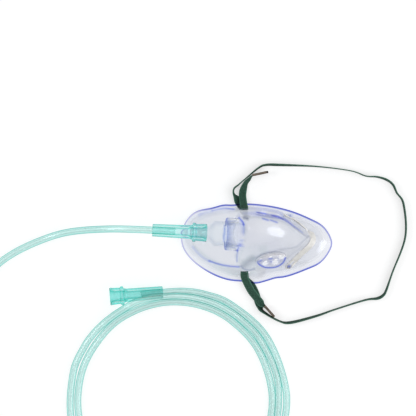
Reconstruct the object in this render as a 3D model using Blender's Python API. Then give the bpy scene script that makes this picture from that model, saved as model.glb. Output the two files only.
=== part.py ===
"""Adult oxygen face mask with nose clip, inlet adapter, supply tubing and elastic head strap.

Metres, +Z up. The mask lies face down on its rim at z = 0, with its nose end towards +X and its
chin end towards -X. The origin is on the table, at the middle of the rim. The soft shell is
modelled upright, in x and a crosswise y, and then leans towards +Y, as it lies in use.
"""

import math

import bmesh
import bpy
import numpy as np
from mathutils import Matrix, Vector

MM = 0.001
FIT_GAP = 0.3 * MM  # clearance between pieces that touch

# Rim outline, seen from above: half ellipses of their own roundness towards chin and nose
RIM_CHIN_X = -68.2 * MM
RIM_NOSE_X = 68.2 * MM
RIM_WIDEST_X = -5.0 * MM
RIM_HALF_WIDTH = 35.2 * MM
CHIN_ROUNDNESS = 2.1
NOSE_ROUNDNESS = 1.78
RIM_BEAD_RADIUS = 1.1 * MM
SHELL_WALL = 1.2 * MM

# How the soft shell lies: its top leans sideways, its chin end drifts, its rim lifts over the strap
LEAN = 0.30
CHIN_DRIFT = 5.0 * MM
CHIN_DRIFT_FROM_X = -20.0 * MM
STRAP_LIFT = 1.9 * MM
STRAP_LIFT_REACH = 11.0 * MM

# Flange: height of its outer side over the distance in from the rim
FLANGE_PROFILE = [
    (1.65 * MM, 2.05 * MM),
    (3.2 * MM, 3.7 * MM),
    (5.0 * MM, 6.7 * MM),
    (7.0 * MM, 10.4 * MM),
    (9.0 * MM, 14.3 * MM),
    (13.0 * MM, 22.0 * MM),
    (40.0 * MM, 74.0 * MM),
]
CHIN_FLANGE_SHARE = 0.75  # the flange is narrower round the chin tip
CHIN_FLANGE_FROM_X = -42.0 * MM

# Shelf on top of the flange: the chin pocket's roof, which fades out towards the nose
SHELF_PROFILE = [
    (-70.0 * MM, 15.0 * MM),
    (-10.0 * MM, 15.5 * MM),
    (20.0 * MM, 12.5 * MM),
    (55.0 * MM, 5.0 * MM),
    (70.0 * MM, 1.0 * MM),
]
SHELF_CROWN = 1.4 * MM
SHELF_ROUNDING = 4.0 * MM

# Nose dome: height of its crest from the front wall to the nose end of the rim
CREST_PROFILE = [
    (-14.0 * MM, 47.0 * MM),
    (6.0 * MM, 48.5 * MM),
    (20.0 * MM, 43.5 * MM),
    (33.0 * MM, 32.0 * MM),
    (46.0 * MM, 17.5 * MM),
    (56.0 * MM, 8.5 * MM),
    (68.2 * MM, 0.0 * MM),
]
DOME_FULLNESS = 1.6
FRONT_WALL_FOOT_X = -22.6 * MM
FRONT_WALL_FOOT_Z = 15.0 * MM
FRONT_WALL_ANGLE = math.radians(20)  # off vertical
FRONT_WALL_BULGE_RADIUS = 60.0 * MM
FRONT_ROUNDING = 8.0 * MM
DOME_FOOT_ROUNDING = 3.0 * MM

# Shell mesh: where the rows across the mask stand, and how many there are
CHIN_POLE_X = -42.0 * MM
NOSE_POLE_X = 40.0 * MM
CHIN_FAN_STEPS = 8
NOSE_FAN_STEPS = 9
CHIN_ROWS = 6
FRONT_WALL_ROWS = 9
DOME_ROWS = 14
RINGS_IN_FLANGE = [3.2 * MM, 5.0 * MM, 7.0 * MM, 9.0 * MM]
RINGS_TO_CREST = 9

# Port neck on the front wall, and everything that sits on its axis
NECK_MOUTH_X = -28.2 * MM
NECK_AXIS_Z = 29.5 * MM
NECK_TILT = math.radians(5)  # the mouth looks up
NECK_YAW = math.radians(3)  # and slightly sideways
NECK_OUTER_RADIUS = 14.3 * MM
NECK_BORE_RADIUS = 11.3 * MM
NECK_LIP = 0.5 * MM
NECK_ROOT_DEPTH = 24.0 * MM

# Exhalation recesses, one each side
RECESS_X = 12.2 * MM
RECESS_Y = 21.4 * MM
RECESS_HALF_LENGTH = 12.5 * MM
RECESS_HALF_HEIGHT = 8.2 * MM
RECESS_DEPTH = 2.2 * MM
RECESS_REACH_OUT = 6.0 * MM
VENT_RADIUS = 1.9 * MM
VENT_SPACING = 9.2 * MM
VENT_ROW_OFFSET = 2.7 * MM

# Strap slots in the flange
SLOT_X = -11.2 * MM
SLOT_Y = 28.8 * MM
SLOT_LENGTH = 9.0 * MM
SLOT_WIDTH = 2.2 * MM

# Nose clip: its line over the shell, from one end to the other, seen from above
CLIP_LINE = [
    (26.4 * MM, 24.3 * MM),
    (36.5 * MM, 14.8 * MM),
    (46.0 * MM, 5.9 * MM),
    (49.0 * MM, 0.0 * MM),
]
CLIP_WIDTH = 7.0 * MM
CLIP_THICKNESS = 0.7 * MM
CLIP_SEAT = 0.6 * MM  # the flat strip's middle over the curved shell
CLIP_SLOT_LENGTH = 8.5 * MM
CLIP_SLOT_WIDTH = 2.8 * MM
CLIP_SLOT_FROM_END = 2.2 * MM
STUD_RADIUS = 1.0 * MM
STUD_HEAD_RADIUS = 2.3 * MM
STUD_HEAD_HEIGHT = 0.9 * MM

# Inlet adapter: a 22 mm socket end, a cone and a nipple, along the neck's axis from its mouth
ADAPTER_RADIUS = 11.0 * MM
ADAPTER_WALL = 1.2 * MM
ADAPTER_INSERTION = 12.0 * MM
ADAPTER_SHOULDER = 10.3 * MM
ADAPTER_CONE_END = 16.6 * MM
NIPPLE_RADIUS = 3.7 * MM
NIPPLE_BARB_RADIUS = 4.3 * MM
NIPPLE_BORE_RADIUS = 2.4 * MM
NIPPLE_LENGTH = 9.5 * MM

# Tubing and its two soft connectors
TUBE_RADIUS = 3.1 * MM
CONNECTOR_LENGTH = 47.5 * MM
CUFF_RADIUS = 7.85 * MM
CUFF_NECK_RADIUS = 7.3 * MM
CUFF_LENGTH = 9.3 * MM
CUFF_MOUTH_BORE_RADIUS = 6.5 * MM
FLANGE_RING_RADIUS = 8.4 * MM
FLANGE_RING_WIDTH = 3.4 * MM
SLEEVE_ROOT_RADIUS = 6.0 * MM
SLEEVE_TIP_RADIUS = 5.45 * MM
TUBE_SEAT_DEPTH = 20.0 * MM
CONNECTOR_STANDOFF = 0.3 * MM  # cuff mouth to the adapter's cone

# Far connector on the table, and the coil beside it
SOURCE_MOUTH = Vector((-131.3, -47.2, 9.35)) * MM
SOURCE_SLEEVE_END = Vector((-84.2, -43.5, 6.3)) * MM
COIL_CENTRE = Vector((-72.1, -140.5, 0)) * MM
COIL_OUTER_RADIUS = 102.0 * MM
COIL_INNER_RADIUS = 82.0 * MM
COIL_HEIGHT = 12.6 * MM
COIL_CORNER = 3.0 * MM

# Route of the uncoiled tubing: from inside the connector on the mask, down to the table and on to the coil
TUBE_ROUTE = [
    (-108.6, 13.3, 34.6),
    (-124.2, 13.6, 31.0),
    (-139.4, 13.2, 24.8),
    (-154.2, 12.2, 17.4),
    (-168.3, 10.4, 10.6),
    (-180.9, 7.4, 5.8),
    (-193.5, 3.0, 3.7),
    (-206.2, -2.4, 3.3),
    (-218.1, -8.6, 3.3),
    (-230.4, -17.0, 3.3),
    (-243.0, -29.5, 3.3),
    (-253.5, -46.5, 3.3),
    (-260.0, -68.0, 3.3),
    (-262.0, -93.0, 3.3),
    (-259.5, -118.0, 3.3),
    (-251.5, -143.0, 3.3),
    (-238.0, -166.5, 3.3),
    (-219.0, -188.0, 3.3),
    (-195.0, -206.5, 3.3),
    (-167.0, -221.5, 3.3),
    (-137.0, -232.0, 3.3),
    (-106.0, -237.5, 3.3),
]
TUBE_POINTS_PER_STEP = 2

# Head strap: a flat band with a crimped metal tip on each end
STRAP_WIDTH = 7.0 * MM
STRAP_THICKNESS = 0.8 * MM
STRAP_CLEARANCE = 0.35 * MM  # to the rim and the slots that it passes
STRAP_SLACK = 0.5 * MM  # more of it beside the rim
STRAP_TABLE_GAP = 0.1 * MM
STRAP_POINTS_PER_STEP = 2
STRAP_DRIFTS = {1: (-0.8 * MM, -2.4 * MM), -1: (1.2 * MM, 1.6 * MM)}  # sideways, over and under the rim
TIP_LENGTH = 13.0 * MM
TIP_WALL = 0.35 * MM
TIP_GRIP = 7.0 * MM  # how far the band reaches into its tip
TIP_CORNER = 0.25 * MM

# Route of the band's middle: tails of (x, y, z, lean) in the air and a loop of (x, y, lean) on the
# table, in mm; lean turns the band from flat, 0 degrees, to standing on edge, 90
STRAP_UPPER_TAIL = [
    (3.6, 62.9, 6.9, 90),
    (0.0, 62.15, 5.9, 90),
    (-3.5, 61.4, 4.95, 90),
    (-5.6, 59.9, 4.2, 84),
    (-7.0, 57.6, 3.9, 62),
    (-8.3, 54.8, 3.8, 40),
    (-9.7, 51.6, 3.6, 20),
    (-11.4, 48.0, 3.2, 5),
    (-12.7, 44.4, 3.0, 0),
    (-12.7, 41.4, 3.2, 0),
    (-12.3, 38.6, 3.9, 0),
]
STRAP_LOOP = [
    (-15.0, 35.6, 0),
    (-16.6, 38.8, 0),
    (-17.5, 42.2, 2),
    (-17.7, 45.6, 9),
    (-16.6, 49.3, 24),
    (-14.4, 52.8, 44),
    (-11.4, 56.4, 68),
    (-7.6, 60.2, 85),
    (-3.6, 63.6, 90),
    (0.7, 67.2, 90),
    (5.6, 69.9, 85),
    (12.7, 70.5, 75),
    (29.9, 70.4, 78),
    (53.9, 69.2, 90),
    (84.4, 65.3, 90),
    (98.1, 60.6, 90),
    (108.0, 59.9, 84),
    (116.5, 57.3, 73),
    (122.3, 52.8, 82),
    (125.7, 45.6, 90),
    (131.8, 35.2, 84),
    (134.1, 20.6, 80),
    (133.3, 5.9, 90),
    (128.8, -8.6, 90),
    (121.7, -26.1, 90),
    (117.9, -37.0, 90),
    (115.1, -44.4, 82),
    (109.5, -48.2, 72),
    (96.2, -51.1, 90),
    (71.4, -58.8, 90),
    (45.1, -67.2, 76),
    (32.0, -70.5, 72),
    (22.0, -70.1, 80),
    (12.2, -66.6, 90),
    (4.9, -60.4, 85),
    (2.6, -56.2, 68),
    (1.4, -52.0, 45),
    (0.8, -48.0, 25),
    (0.0, -44.0, 10),
    (-1.6, -40.0, 2),
    (-4.0, -36.8, 0),
    (-6.7, -34.3, 0),
]
STRAP_LOWER_TAIL = [
    (-9.2, -35.4, 4.4, 0),
    (-7.8, -38.3, 4.0, 0),
    (-5.5, -41.6, 3.9, 2),
    (-2.4, -45.2, 4.0, 9),
    (0.9, -48.8, 4.3, 25),
    (3.4, -51.5, 4.4, 52),
    (5.4, -53.8, 4.3, 78),
    (7.2, -55.9, 4.2, 90),
    (9.2, -58.2, 4.2, 90),
    (11.6, -60.9, 4.2, 90),
]


def smooth_value(points, x):
    """Value at x of a smooth curve through points, which are in order of x."""
    if x <= points[0][0]:
        return points[0][1]
    if x >= points[-1][0]:
        return points[-1][1]
    slopes = []
    for k in range(len(points)):
        before, after = points[max(k - 1, 0)], points[min(k + 1, len(points) - 1)]
        slopes.append((after[1] - before[1]) / (after[0] - before[0]))
    k = max(i for i in range(len(points) - 1) if points[i][0] <= x)
    (x0, y0), (x1, y1) = points[k], points[k + 1]
    span = x1 - x0
    t = (x - x0) / span
    return (
        (2 * t**3 - 3 * t**2 + 1) * y0
        + (t**3 - 2 * t**2 + t) * span * slopes[k]
        + (3 * t**2 - 2 * t**3) * y1
        + (t**3 - t**2) * span * slopes[k + 1]
    )


def smooth_min(a, b, rounding):
    """The lower of two heights, with the corner between them rounded."""
    if rounding <= 0:
        return min(a, b)
    share = min(max(0.5 + 0.5 * (b - a) / rounding, 0), 1)
    return b + (a - b) * share - rounding * share * (1 - share)


def smooth_max(a, b, rounding):
    """The higher of two heights, with the corner between them rounded."""
    return -smooth_min(-a, -b, rounding)


def ease(t):
    """0 to 1 with level ends."""
    t = min(max(t, 0), 1)
    return t * t * (3 - 2 * t)


def through(points, steps):
    """Points of a smooth curve through the given vectors, with steps between each pair."""
    found = []
    last = len(points) - 1
    for k in range(last):
        p0, p1 = points[max(k - 1, 0)], points[k]
        p2, p3 = points[k + 1], points[min(k + 2, last)]
        for i in range(steps):
            t = i / steps
            found.append(
                0.5 * ((2 * p1) + (p2 - p0) * t + (2 * p0 - 5 * p1 + 4 * p2 - p3) * t**2)
                + 0.5 * (3 * p1 - p0 - 3 * p2 + p3) * t**3
            )
    found.append(points[-1].copy())
    return found


def make_material(name, colour, roughness, metallic=0.0, transmission=0.0):
    """A Principled material."""
    material = bpy.data.materials.new(name)
    material.use_nodes = True
    shader = material.node_tree.nodes["Principled BSDF"]
    shader.inputs["Base Color"].default_value = (*colour, 1)
    shader.inputs["Roughness"].default_value = roughness
    shader.inputs["Metallic"].default_value = metallic
    shader.inputs["Transmission Weight"].default_value = transmission
    return material


def add_object(name, bm, material=None, smooth_angle=math.radians(35)):
    """Makes an object of a bmesh, with its faces turned outwards."""
    bmesh.ops.recalc_face_normals(bm, faces=bm.faces)
    mesh = bpy.data.meshes.new(name)
    bm.to_mesh(mesh)
    bm.free()
    mesh.shade_smooth()
    mesh.set_sharp_from_angle(angle=smooth_angle)
    item = bpy.data.objects.new(name, mesh)
    bpy.context.collection.objects.link(item)
    if material:
        mesh.materials.append(material)
    return item


def as_cutter(item):
    """Marks an object as a guide that isn't part of the product."""
    item.display_type = "WIRE"
    item.hide_render = True
    return item


def add_boolean(item, operation, other):
    """Adds a live Boolean to an object."""
    modifier = item.modifiers.new(operation.lower() + "_" + other.name, "BOOLEAN")
    modifier.operation = operation
    modifier.object = other


def fill_ring(bm, ring):
    """Closes a loop of vertices with one face."""
    bm.faces.new(ring)


def bridge_rings(bm, ring, other):
    """Joins two loops of equally many vertices with quads."""
    count = len(ring)
    for k in range(count):
        after = (k + 1) % count
        bm.faces.new((ring[k], ring[after], other[after], other[k]))


def turned(bm, profile, matrix, segments):
    """Turns a closed profile of (along, radius) points round the matrix's x axis."""
    rings = []
    for k in range(segments):
        angle = 2 * math.pi * k / segments
        rings.append(
            [
                bm.verts.new(matrix @ Vector((x, r * math.cos(angle), r * math.sin(angle))))
                for x, r in profile
            ]
        )
    for k in range(segments):
        bridge_rings(bm, rings[k], rings[(k + 1) % segments])


def solid_of_turned(bm, profile, matrix, segments):
    """Turns an open profile of (along, radius) points into a solid with flat ends."""
    rings = []
    for x, r in profile:
        ring = []
        for k in range(segments):
            angle = 2 * math.pi * k / segments
            ring.append(bm.verts.new(matrix @ Vector((x, r * math.cos(angle), r * math.sin(angle)))))
        rings.append(ring)
    for ring, other in zip(rings, rings[1:]):
        bridge_rings(bm, ring, other)
    fill_ring(bm, rings[0])
    fill_ring(bm, rings[-1])


def axis_frame(origin, along, up=Vector((0, 0, 1))):
    """A matrix whose x axis points along a direction, with its z axis as near up as it can."""
    x = along.normalized()
    y = up.cross(x).normalized()
    z = x.cross(y)
    matrix = Matrix((x, y, z)).transposed().to_4x4()
    matrix.translation = origin
    return matrix


# Mask shell


def rim_half_width(x):
    """Half the width of the rim outline at x."""
    if x < RIM_WIDEST_X:
        share, roundness = (x - RIM_WIDEST_X) / (RIM_CHIN_X - RIM_WIDEST_X), CHIN_ROUNDNESS
    else:
        share, roundness = (x - RIM_WIDEST_X) / (RIM_NOSE_X - RIM_WIDEST_X), NOSE_ROUNDNESS
    share = min(share, 1)
    return RIM_HALF_WIDTH * (1 - share**roundness) ** (1 / roundness)


def outline_stations():
    """Places along x where the shell has rows, from the nose tip to the chin tip."""
    nose = [
        RIM_NOSE_X + (NOSE_POLE_X - RIM_NOSE_X) * (1 - math.cos(math.pi / 2 * k / NOSE_FAN_STEPS))
        for k in range(NOSE_FAN_STEPS)
    ]
    chin = [
        RIM_CHIN_X + (CHIN_POLE_X - RIM_CHIN_X) * (1 - math.cos(math.pi / 2 * k / CHIN_FAN_STEPS))
        for k in range(CHIN_FAN_STEPS)
    ]
    wall_top_x = CREST_PROFILE[0][0] + 5.5 * MM
    wall_foot_x = FRONT_WALL_FOOT_X - 1.5 * MM
    dome = np.linspace(NOSE_POLE_X, wall_top_x, DOME_ROWS, endpoint=False)
    wall = np.linspace(wall_top_x, wall_foot_x, FRONT_WALL_ROWS, endpoint=False)
    pocket = np.linspace(wall_foot_x, CHIN_POLE_X, CHIN_ROWS)
    return nose + [float(x) for x in (*dome, *wall, *pocket)] + chin[::-1]


def outline_points():
    """The rim outline as a closed loop of (x, y), from the nose tip round by +Y."""
    side = [(x, rim_half_width(x)) for x in outline_stations()]
    return side + [(x, -y) for x, y in side[-2:0:-1]]


OUTLINE = np.array([(x, s * rim_half_width(x)) for s in (1, -1) for x in outline_stations()[::s]])


def rim_distance(x, y):
    """Shortest distance from a place to the rim outline, seen from above."""
    start = OUTLINE
    edge = np.roll(OUTLINE, -1, axis=0) - start
    to_place = np.array((x, y)) - start
    length = np.maximum((edge**2).sum(axis=1), 1e-18)
    share = np.clip((to_place * edge).sum(axis=1) / length, 0, 1)
    return float(np.sqrt(((to_place - edge * share[:, None]) ** 2).sum(axis=1)).min())


def shell_height(x, y):
    """Height of the shell's outer side, upright."""
    distance = rim_distance(x, y)
    narrowing = ease((CHIN_FLANGE_FROM_X - x) / (CHIN_FLANGE_FROM_X - RIM_CHIN_X))
    reach = 1 - (1 - CHIN_FLANGE_SHARE) * narrowing
    flange = smooth_value(FLANGE_PROFILE, distance / reach)
    across = y / RIM_HALF_WIDTH
    shelf = smooth_value(SHELF_PROFILE, x) + SHELF_CROWN * (1 - across**2)
    base = smooth_min(flange, shelf, SHELF_ROUNDING)

    t = min(abs(y) / max(rim_half_width(x), MM), 1)
    arch = smooth_value(CREST_PROFILE, x) * (1 - t**2) ** DOME_FULLNESS
    foot_x = FRONT_WALL_FOOT_X + y * y / (2 * FRONT_WALL_BULGE_RADIUS)
    front = FRONT_WALL_FOOT_Z + (x - foot_x) / math.tan(FRONT_WALL_ANGLE)
    dome = smooth_min(arch, front, FRONT_ROUNDING)
    height = smooth_max(base, dome, min(DOME_FOOT_ROUNDING, 0.3 * max(base, dome)))

    near_slot = math.exp(-(((x - SLOT_X) / STRAP_LIFT_REACH) ** 2))
    return height + STRAP_LIFT * near_slot * max(0, 1 - distance / RINGS_IN_FLANGE[-1])


def settled(x, y, z):
    """Where a point of the upright shell lies on the real, leaning one."""
    drift = CHIN_DRIFT * ease((CHIN_DRIFT_FROM_X - x) / (CHIN_DRIFT_FROM_X - RIM_CHIN_X))
    return Vector((x, y + LEAN * z + drift, z))


def shell_point(x, y):
    """Point on the shell's outer side."""
    return settled(x, y, shell_height(x, y))


def shell_normal(x, y):
    """Outward direction of the shell at a place."""
    step = 0.4 * MM
    along = shell_point(x + step, y) - shell_point(x - step, y)
    across = shell_point(x, y + step) - shell_point(x, y - step)
    return along.cross(across).normalized()


def shell_grid():
    """(loops of (x, y) from the flange inwards, (x, y) along the mid-line), seen from above."""
    rim = outline_points()
    centres = [(min(max(x, CHIN_POLE_X), NOSE_POLE_X), 0) for x, _ in rim]
    loops = []
    for distance in RINGS_IN_FLANGE:
        loops.append([place_between(s, c, distance) for s, c in zip(rim, centres)])
    for k in range(1, RINGS_TO_CREST):
        share = k / RINGS_TO_CREST
        loops.append(
            [
                (a[0] + (c[0] - a[0]) * share, a[1] + (c[1] - a[1]) * share)
                for a, c in zip(loops[len(RINGS_IN_FLANGE) - 1], centres)
            ]
        )
    return loops


def place_between(start, end, distance):
    """The place at a distance from start towards end."""
    length = math.dist(start, end)
    return (
        start[0] + (end[0] - start[0]) * distance / length,
        start[1] + (end[1] - start[1]) * distance / length,
    )


def add_sheet(bm, depth):
    """Adds the shell's outer side, or the side that lies depth inside it; gives its outermost loop."""
    rim = outline_points()
    count = len(rim)
    made = {}

    def vertex(x, y):
        key = (round(x, 7), round(abs(y) if abs(y) < 1e-9 else y, 7))
        if key not in made:
            made[key] = bm.verts.new(shell_point(x, y) - depth * shell_normal(x, y))
        return made[key]

    loops = [[vertex(x, y) for x, y in loop] for loop in shell_grid()]
    for ring, other in zip(loops, loops[1:]):
        bridge_rings(bm, ring, other)
    middle = [vertex(min(max(x, CHIN_POLE_X), NOSE_POLE_X), 0) for x, _ in rim]
    for k in range(count):
        after = (k + 1) % count
        corners = [loops[-1][k], loops[-1][after], middle[after], middle[k]]
        bm.faces.new(list(dict.fromkeys(corners)))
    return loops[0]


def bead_point(start, end, angle):
    """Point on the rolled rim: angle 0 looks inwards and 90 degrees looks up."""
    x, y = place_between(start, end, RIM_BEAD_RADIUS * (1 + math.cos(angle)))
    lift = STRAP_LIFT * math.exp(-(((x - SLOT_X) / STRAP_LIFT_REACH) ** 2))
    return settled(x, y, RIM_BEAD_RADIUS * (1 + math.sin(angle)) + lift)


def add_shell(bm):
    """Adds the closed shell: outer side, rolled rim and inner side."""
    rim = outline_points()
    centres = [(min(max(x, CHIN_POLE_X), NOSE_POLE_X), 0) for x, _ in rim]
    previous = add_sheet(bm, 0)
    for degrees in (60, 105, 150, 195, 240, 285, 330):
        ring = [
            bm.verts.new(bead_point(s, c, math.radians(degrees))) for s, c in zip(rim, centres)
        ]
        bridge_rings(bm, previous, ring)
        previous = ring
    bridge_rings(bm, previous, add_sheet(bm, SHELL_WALL))


def add_filled(bm, depth):
    """Adds the space under one side of the shell, down to below the table."""
    edge = add_sheet(bm, depth)
    floor = [bm.verts.new((v.co.x, v.co.y, -RECESS_REACH_OUT)) for v in edge]
    bridge_rings(bm, edge, floor)
    fill_ring(bm, floor)


def neck_frame():
    """Matrix at the middle of the neck's mouth, with its x axis pointing out of the mouth."""
    origin = settled(NECK_MOUTH_X, 0, NECK_AXIS_Z)
    along = Vector(
        (
            -math.cos(NECK_TILT) * math.cos(NECK_YAW),
            math.cos(NECK_TILT) * math.sin(NECK_YAW),
            math.sin(NECK_TILT),
        )
    )
    return axis_frame(origin, along)


def surface_frame(x, y):
    """Matrix on the shell with its z axis pointing out and its x axis level, towards the nose."""
    normal = shell_normal(x, y)
    level = Vector((0, 0, 1)).cross(normal).normalized()
    if level.x < 0:
        level = -level
    matrix = Matrix((level, normal.cross(level), normal)).transposed().to_4x4()
    matrix.translation = shell_point(x, y)
    return matrix


def add_oval(bm, matrix, half_length, half_height, low, high, segments=32, straight=0.0):
    """Adds an oval column along the matrix's z axis; straight is half the length between its ends."""
    rings = []
    for z in (low, high):
        ring = []
        for k in range(segments):
            angle = 2 * math.pi * k / segments
            along = half_length * math.cos(angle) + math.copysign(straight, math.cos(angle))
            place = Vector((along, half_height * math.sin(angle), z))
            ring.append(bm.verts.new(matrix @ place))
        rings.append(ring)
    bridge_rings(bm, rings[0], rings[1])
    fill_ring(bm, rings[0])
    fill_ring(bm, rings[1])


def add_box(bm, matrix, size):
    """Adds a box of a size about the matrix's origin."""
    scale = Matrix.Diagonal((*size, 1))
    bmesh.ops.create_cube(bm, size=1, matrix=matrix @ scale)


def vent_places():
    """(along, up) of the five vents in a recess: three in the upper row and two below."""
    upper = [(k * VENT_SPACING, VENT_ROW_OFFSET) for k in (-1, 0, 1)]
    lower = [(k * VENT_SPACING / 2, -VENT_ROW_OFFSET) for k in (-1, 1)]
    return upper + lower


def side_frames(x, y):
    """The surface frames at a place on both sides of the mask."""
    return [surface_frame(x, side * y) for side in (1, -1)]


def build_mask_body(material):
    """The moulded shell with its neck, recesses, slots and studs."""
    bm = bmesh.new()
    add_shell(bm)
    body = add_object("mask_body", bm, material)

    bm = bmesh.new()
    add_filled(bm, SHELL_WALL / 2)
    cavity = as_cutter(add_object("cavity_guide", bm))
    bm = bmesh.new()
    add_filled(bm, SHELL_WALL * 0.4)
    envelope = as_cutter(add_object("envelope_guide", bm))

    bm = bmesh.new()
    profile = [
        (-NECK_ROOT_DEPTH, NECK_OUTER_RADIUS),
        (-NECK_LIP, NECK_OUTER_RADIUS),
        (0, NECK_OUTER_RADIUS - NECK_LIP),
    ]
    solid_of_turned(bm, profile, neck_frame(), 48)
    neck = as_cutter(add_object("neck_blank", bm))
    add_boolean(neck, "DIFFERENCE", cavity)
    add_boolean(body, "UNION", neck)

    bm = bmesh.new()
    for frame in side_frames(RECESS_X, RECESS_Y):
        low = -RECESS_DEPTH - SHELL_WALL
        half_length, half_height = RECESS_HALF_LENGTH + SHELL_WALL, RECESS_HALF_HEIGHT + SHELL_WALL
        add_oval(bm, frame, half_length, half_height, low, RECESS_REACH_OUT)
    cups = as_cutter(add_object("recess_blanks", bm))
    add_boolean(cups, "INTERSECT", envelope)
    add_boolean(body, "UNION", cups)

    bm = bmesh.new()
    for side in (1, -1):
        add_stud(bm, stud_frame(side))
    studs = as_cutter(add_object("stud_blanks", bm))
    add_boolean(body, "UNION", studs)

    bm = bmesh.new()
    solid_of_turned(
        bm, [(-NECK_ROOT_DEPTH, NECK_BORE_RADIUS), (NECK_LIP * 2, NECK_BORE_RADIUS)], neck_frame(), 48
    )
    for frame in side_frames(RECESS_X, RECESS_Y):
        add_oval(bm, frame, RECESS_HALF_LENGTH, RECESS_HALF_HEIGHT, -RECESS_DEPTH, RECESS_REACH_OUT)
    for frame in side_frames(SLOT_X, SLOT_Y):
        add_box(bm, frame, (SLOT_LENGTH, SLOT_WIDTH, 6 * SHELL_WALL))
    openings = as_cutter(add_object("opening_cutters", bm))
    add_boolean(body, "DIFFERENCE", openings)

    bm = bmesh.new()
    for frame in side_frames(RECESS_X, RECESS_Y):
        for along, up in vent_places():
            place = frame @ Matrix.Translation((along, up, 0))
            low = -RECESS_DEPTH - 2 * SHELL_WALL
            add_oval(bm, place, VENT_RADIUS, VENT_RADIUS, low, -RECESS_DEPTH / 2, 14)
    vents = as_cutter(add_object("vent_cutters", bm))
    add_boolean(body, "DIFFERENCE", vents)
    return body


# Nose clip


def clip_places():
    """Places along the clip's middle line, seen from above, from the +Y end to the -Y end."""
    half = [Vector((x, y, 0)) for x, y in CLIP_LINE]
    line = half + [Vector((p.x, -p.y, 0)) for p in half[-2::-1]]
    return through(line, 5)


def clip_frames():
    """Frames along the clip: x along it, z out of the shell."""
    places = clip_places()
    height = CLIP_SEAT + CLIP_THICKNESS / 2
    points = [shell_point(p.x, p.y) + height * shell_normal(p.x, p.y) for p in places]
    frames = []
    for k, (place, point) in enumerate(zip(places, points)):
        along = (points[min(k + 1, len(points) - 1)] - points[max(k - 1, 0)]).normalized()
        out = shell_normal(place.x, place.y)
        across = out.cross(along).normalized()
        matrix = Matrix((along, across, along.cross(across))).transposed().to_4x4()
        matrix.translation = point
        frames.append(matrix)
    return frames


def clip_end_frame(side, distance):
    """Frame on the clip at a distance from one end; side 1 is the +Y end."""
    frames = clip_frames() if side > 0 else clip_frames()[::-1]
    gone = 0
    for a, b in zip(frames, frames[1:]):
        step = (b.translation - a.translation).length
        if gone + step >= distance:
            matrix = a.copy()
            matrix.translation = a.translation.lerp(b.translation, (distance - gone) / step)
            return matrix
        gone += step
    return frames[-1]


def stud_frame(side):
    """Frame of a stud, in the outer part of the clip's slot."""
    distance = CLIP_SLOT_FROM_END + STUD_RADIUS + FIT_GAP
    return clip_end_frame(side, distance)


def add_stud(bm, frame):
    """Adds a stud through the clip: a shank and a head over it."""
    x_up = frame @ Matrix.Rotation(-math.pi / 2, 4, "Y")
    low = -CLIP_THICKNESS / 2 - CLIP_SEAT - SHELL_WALL / 2
    head = CLIP_THICKNESS / 2 + FIT_GAP
    profile = [
        (low, STUD_RADIUS),
        (head, STUD_RADIUS),
        (head, STUD_HEAD_RADIUS),
        (head + STUD_HEAD_HEIGHT / 2, STUD_HEAD_RADIUS),
        (head + STUD_HEAD_HEIGHT, STUD_HEAD_RADIUS * 0.6),
    ]
    solid_of_turned(bm, profile, x_up, 14)


def build_nose_clip(material):
    """The bent strip, with round ends and a slot near each."""
    bm = bmesh.new()
    frames = clip_frames()
    lengths = [0.0]
    for a, b in zip(frames, frames[1:]):
        lengths.append(lengths[-1] + (b.translation - a.translation).length)
    rings = []
    for frame, gone in zip(frames, lengths):
        to_end = min(gone, lengths[-1] - gone)
        radius = CLIP_WIDTH / 2
        inset = max(radius - to_end, 0)
        half = max(math.sqrt(max(radius**2 - inset**2, 0)), radius * 0.45)
        rings.append(
            [
                bm.verts.new(frame @ Vector((0, y * half, z * CLIP_THICKNESS / 2)))
                for y, z in ((-1, -1), (1, -1), (1, 1), (-1, 1))
            ]
        )
    for ring, other in zip(rings, rings[1:]):
        bridge_rings(bm, ring, other)
    fill_ring(bm, rings[0])
    fill_ring(bm, rings[-1])
    clip = add_object("nose_clip", bm, material)

    bm = bmesh.new()
    for side in (1, -1):
        start = clip_end_frame(side, CLIP_SLOT_FROM_END)
        end = clip_end_frame(side, CLIP_SLOT_FROM_END + CLIP_SLOT_LENGTH)
        middle = axis_frame(
            (start.translation + end.translation) / 2,
            end.translation - start.translation,
            start.to_3x3() @ Vector((0, 0, 1)),
        )
        radius, reach = CLIP_SLOT_WIDTH / 2, 4 * CLIP_THICKNESS
        add_oval(bm, middle, radius, radius, -reach, reach, 16, CLIP_SLOT_LENGTH / 2 - radius)
    slots = as_cutter(add_object("clip_slot_cutters", bm))
    add_boolean(clip, "DIFFERENCE", slots)
    return clip


# Adapter, connectors and tubing


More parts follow.
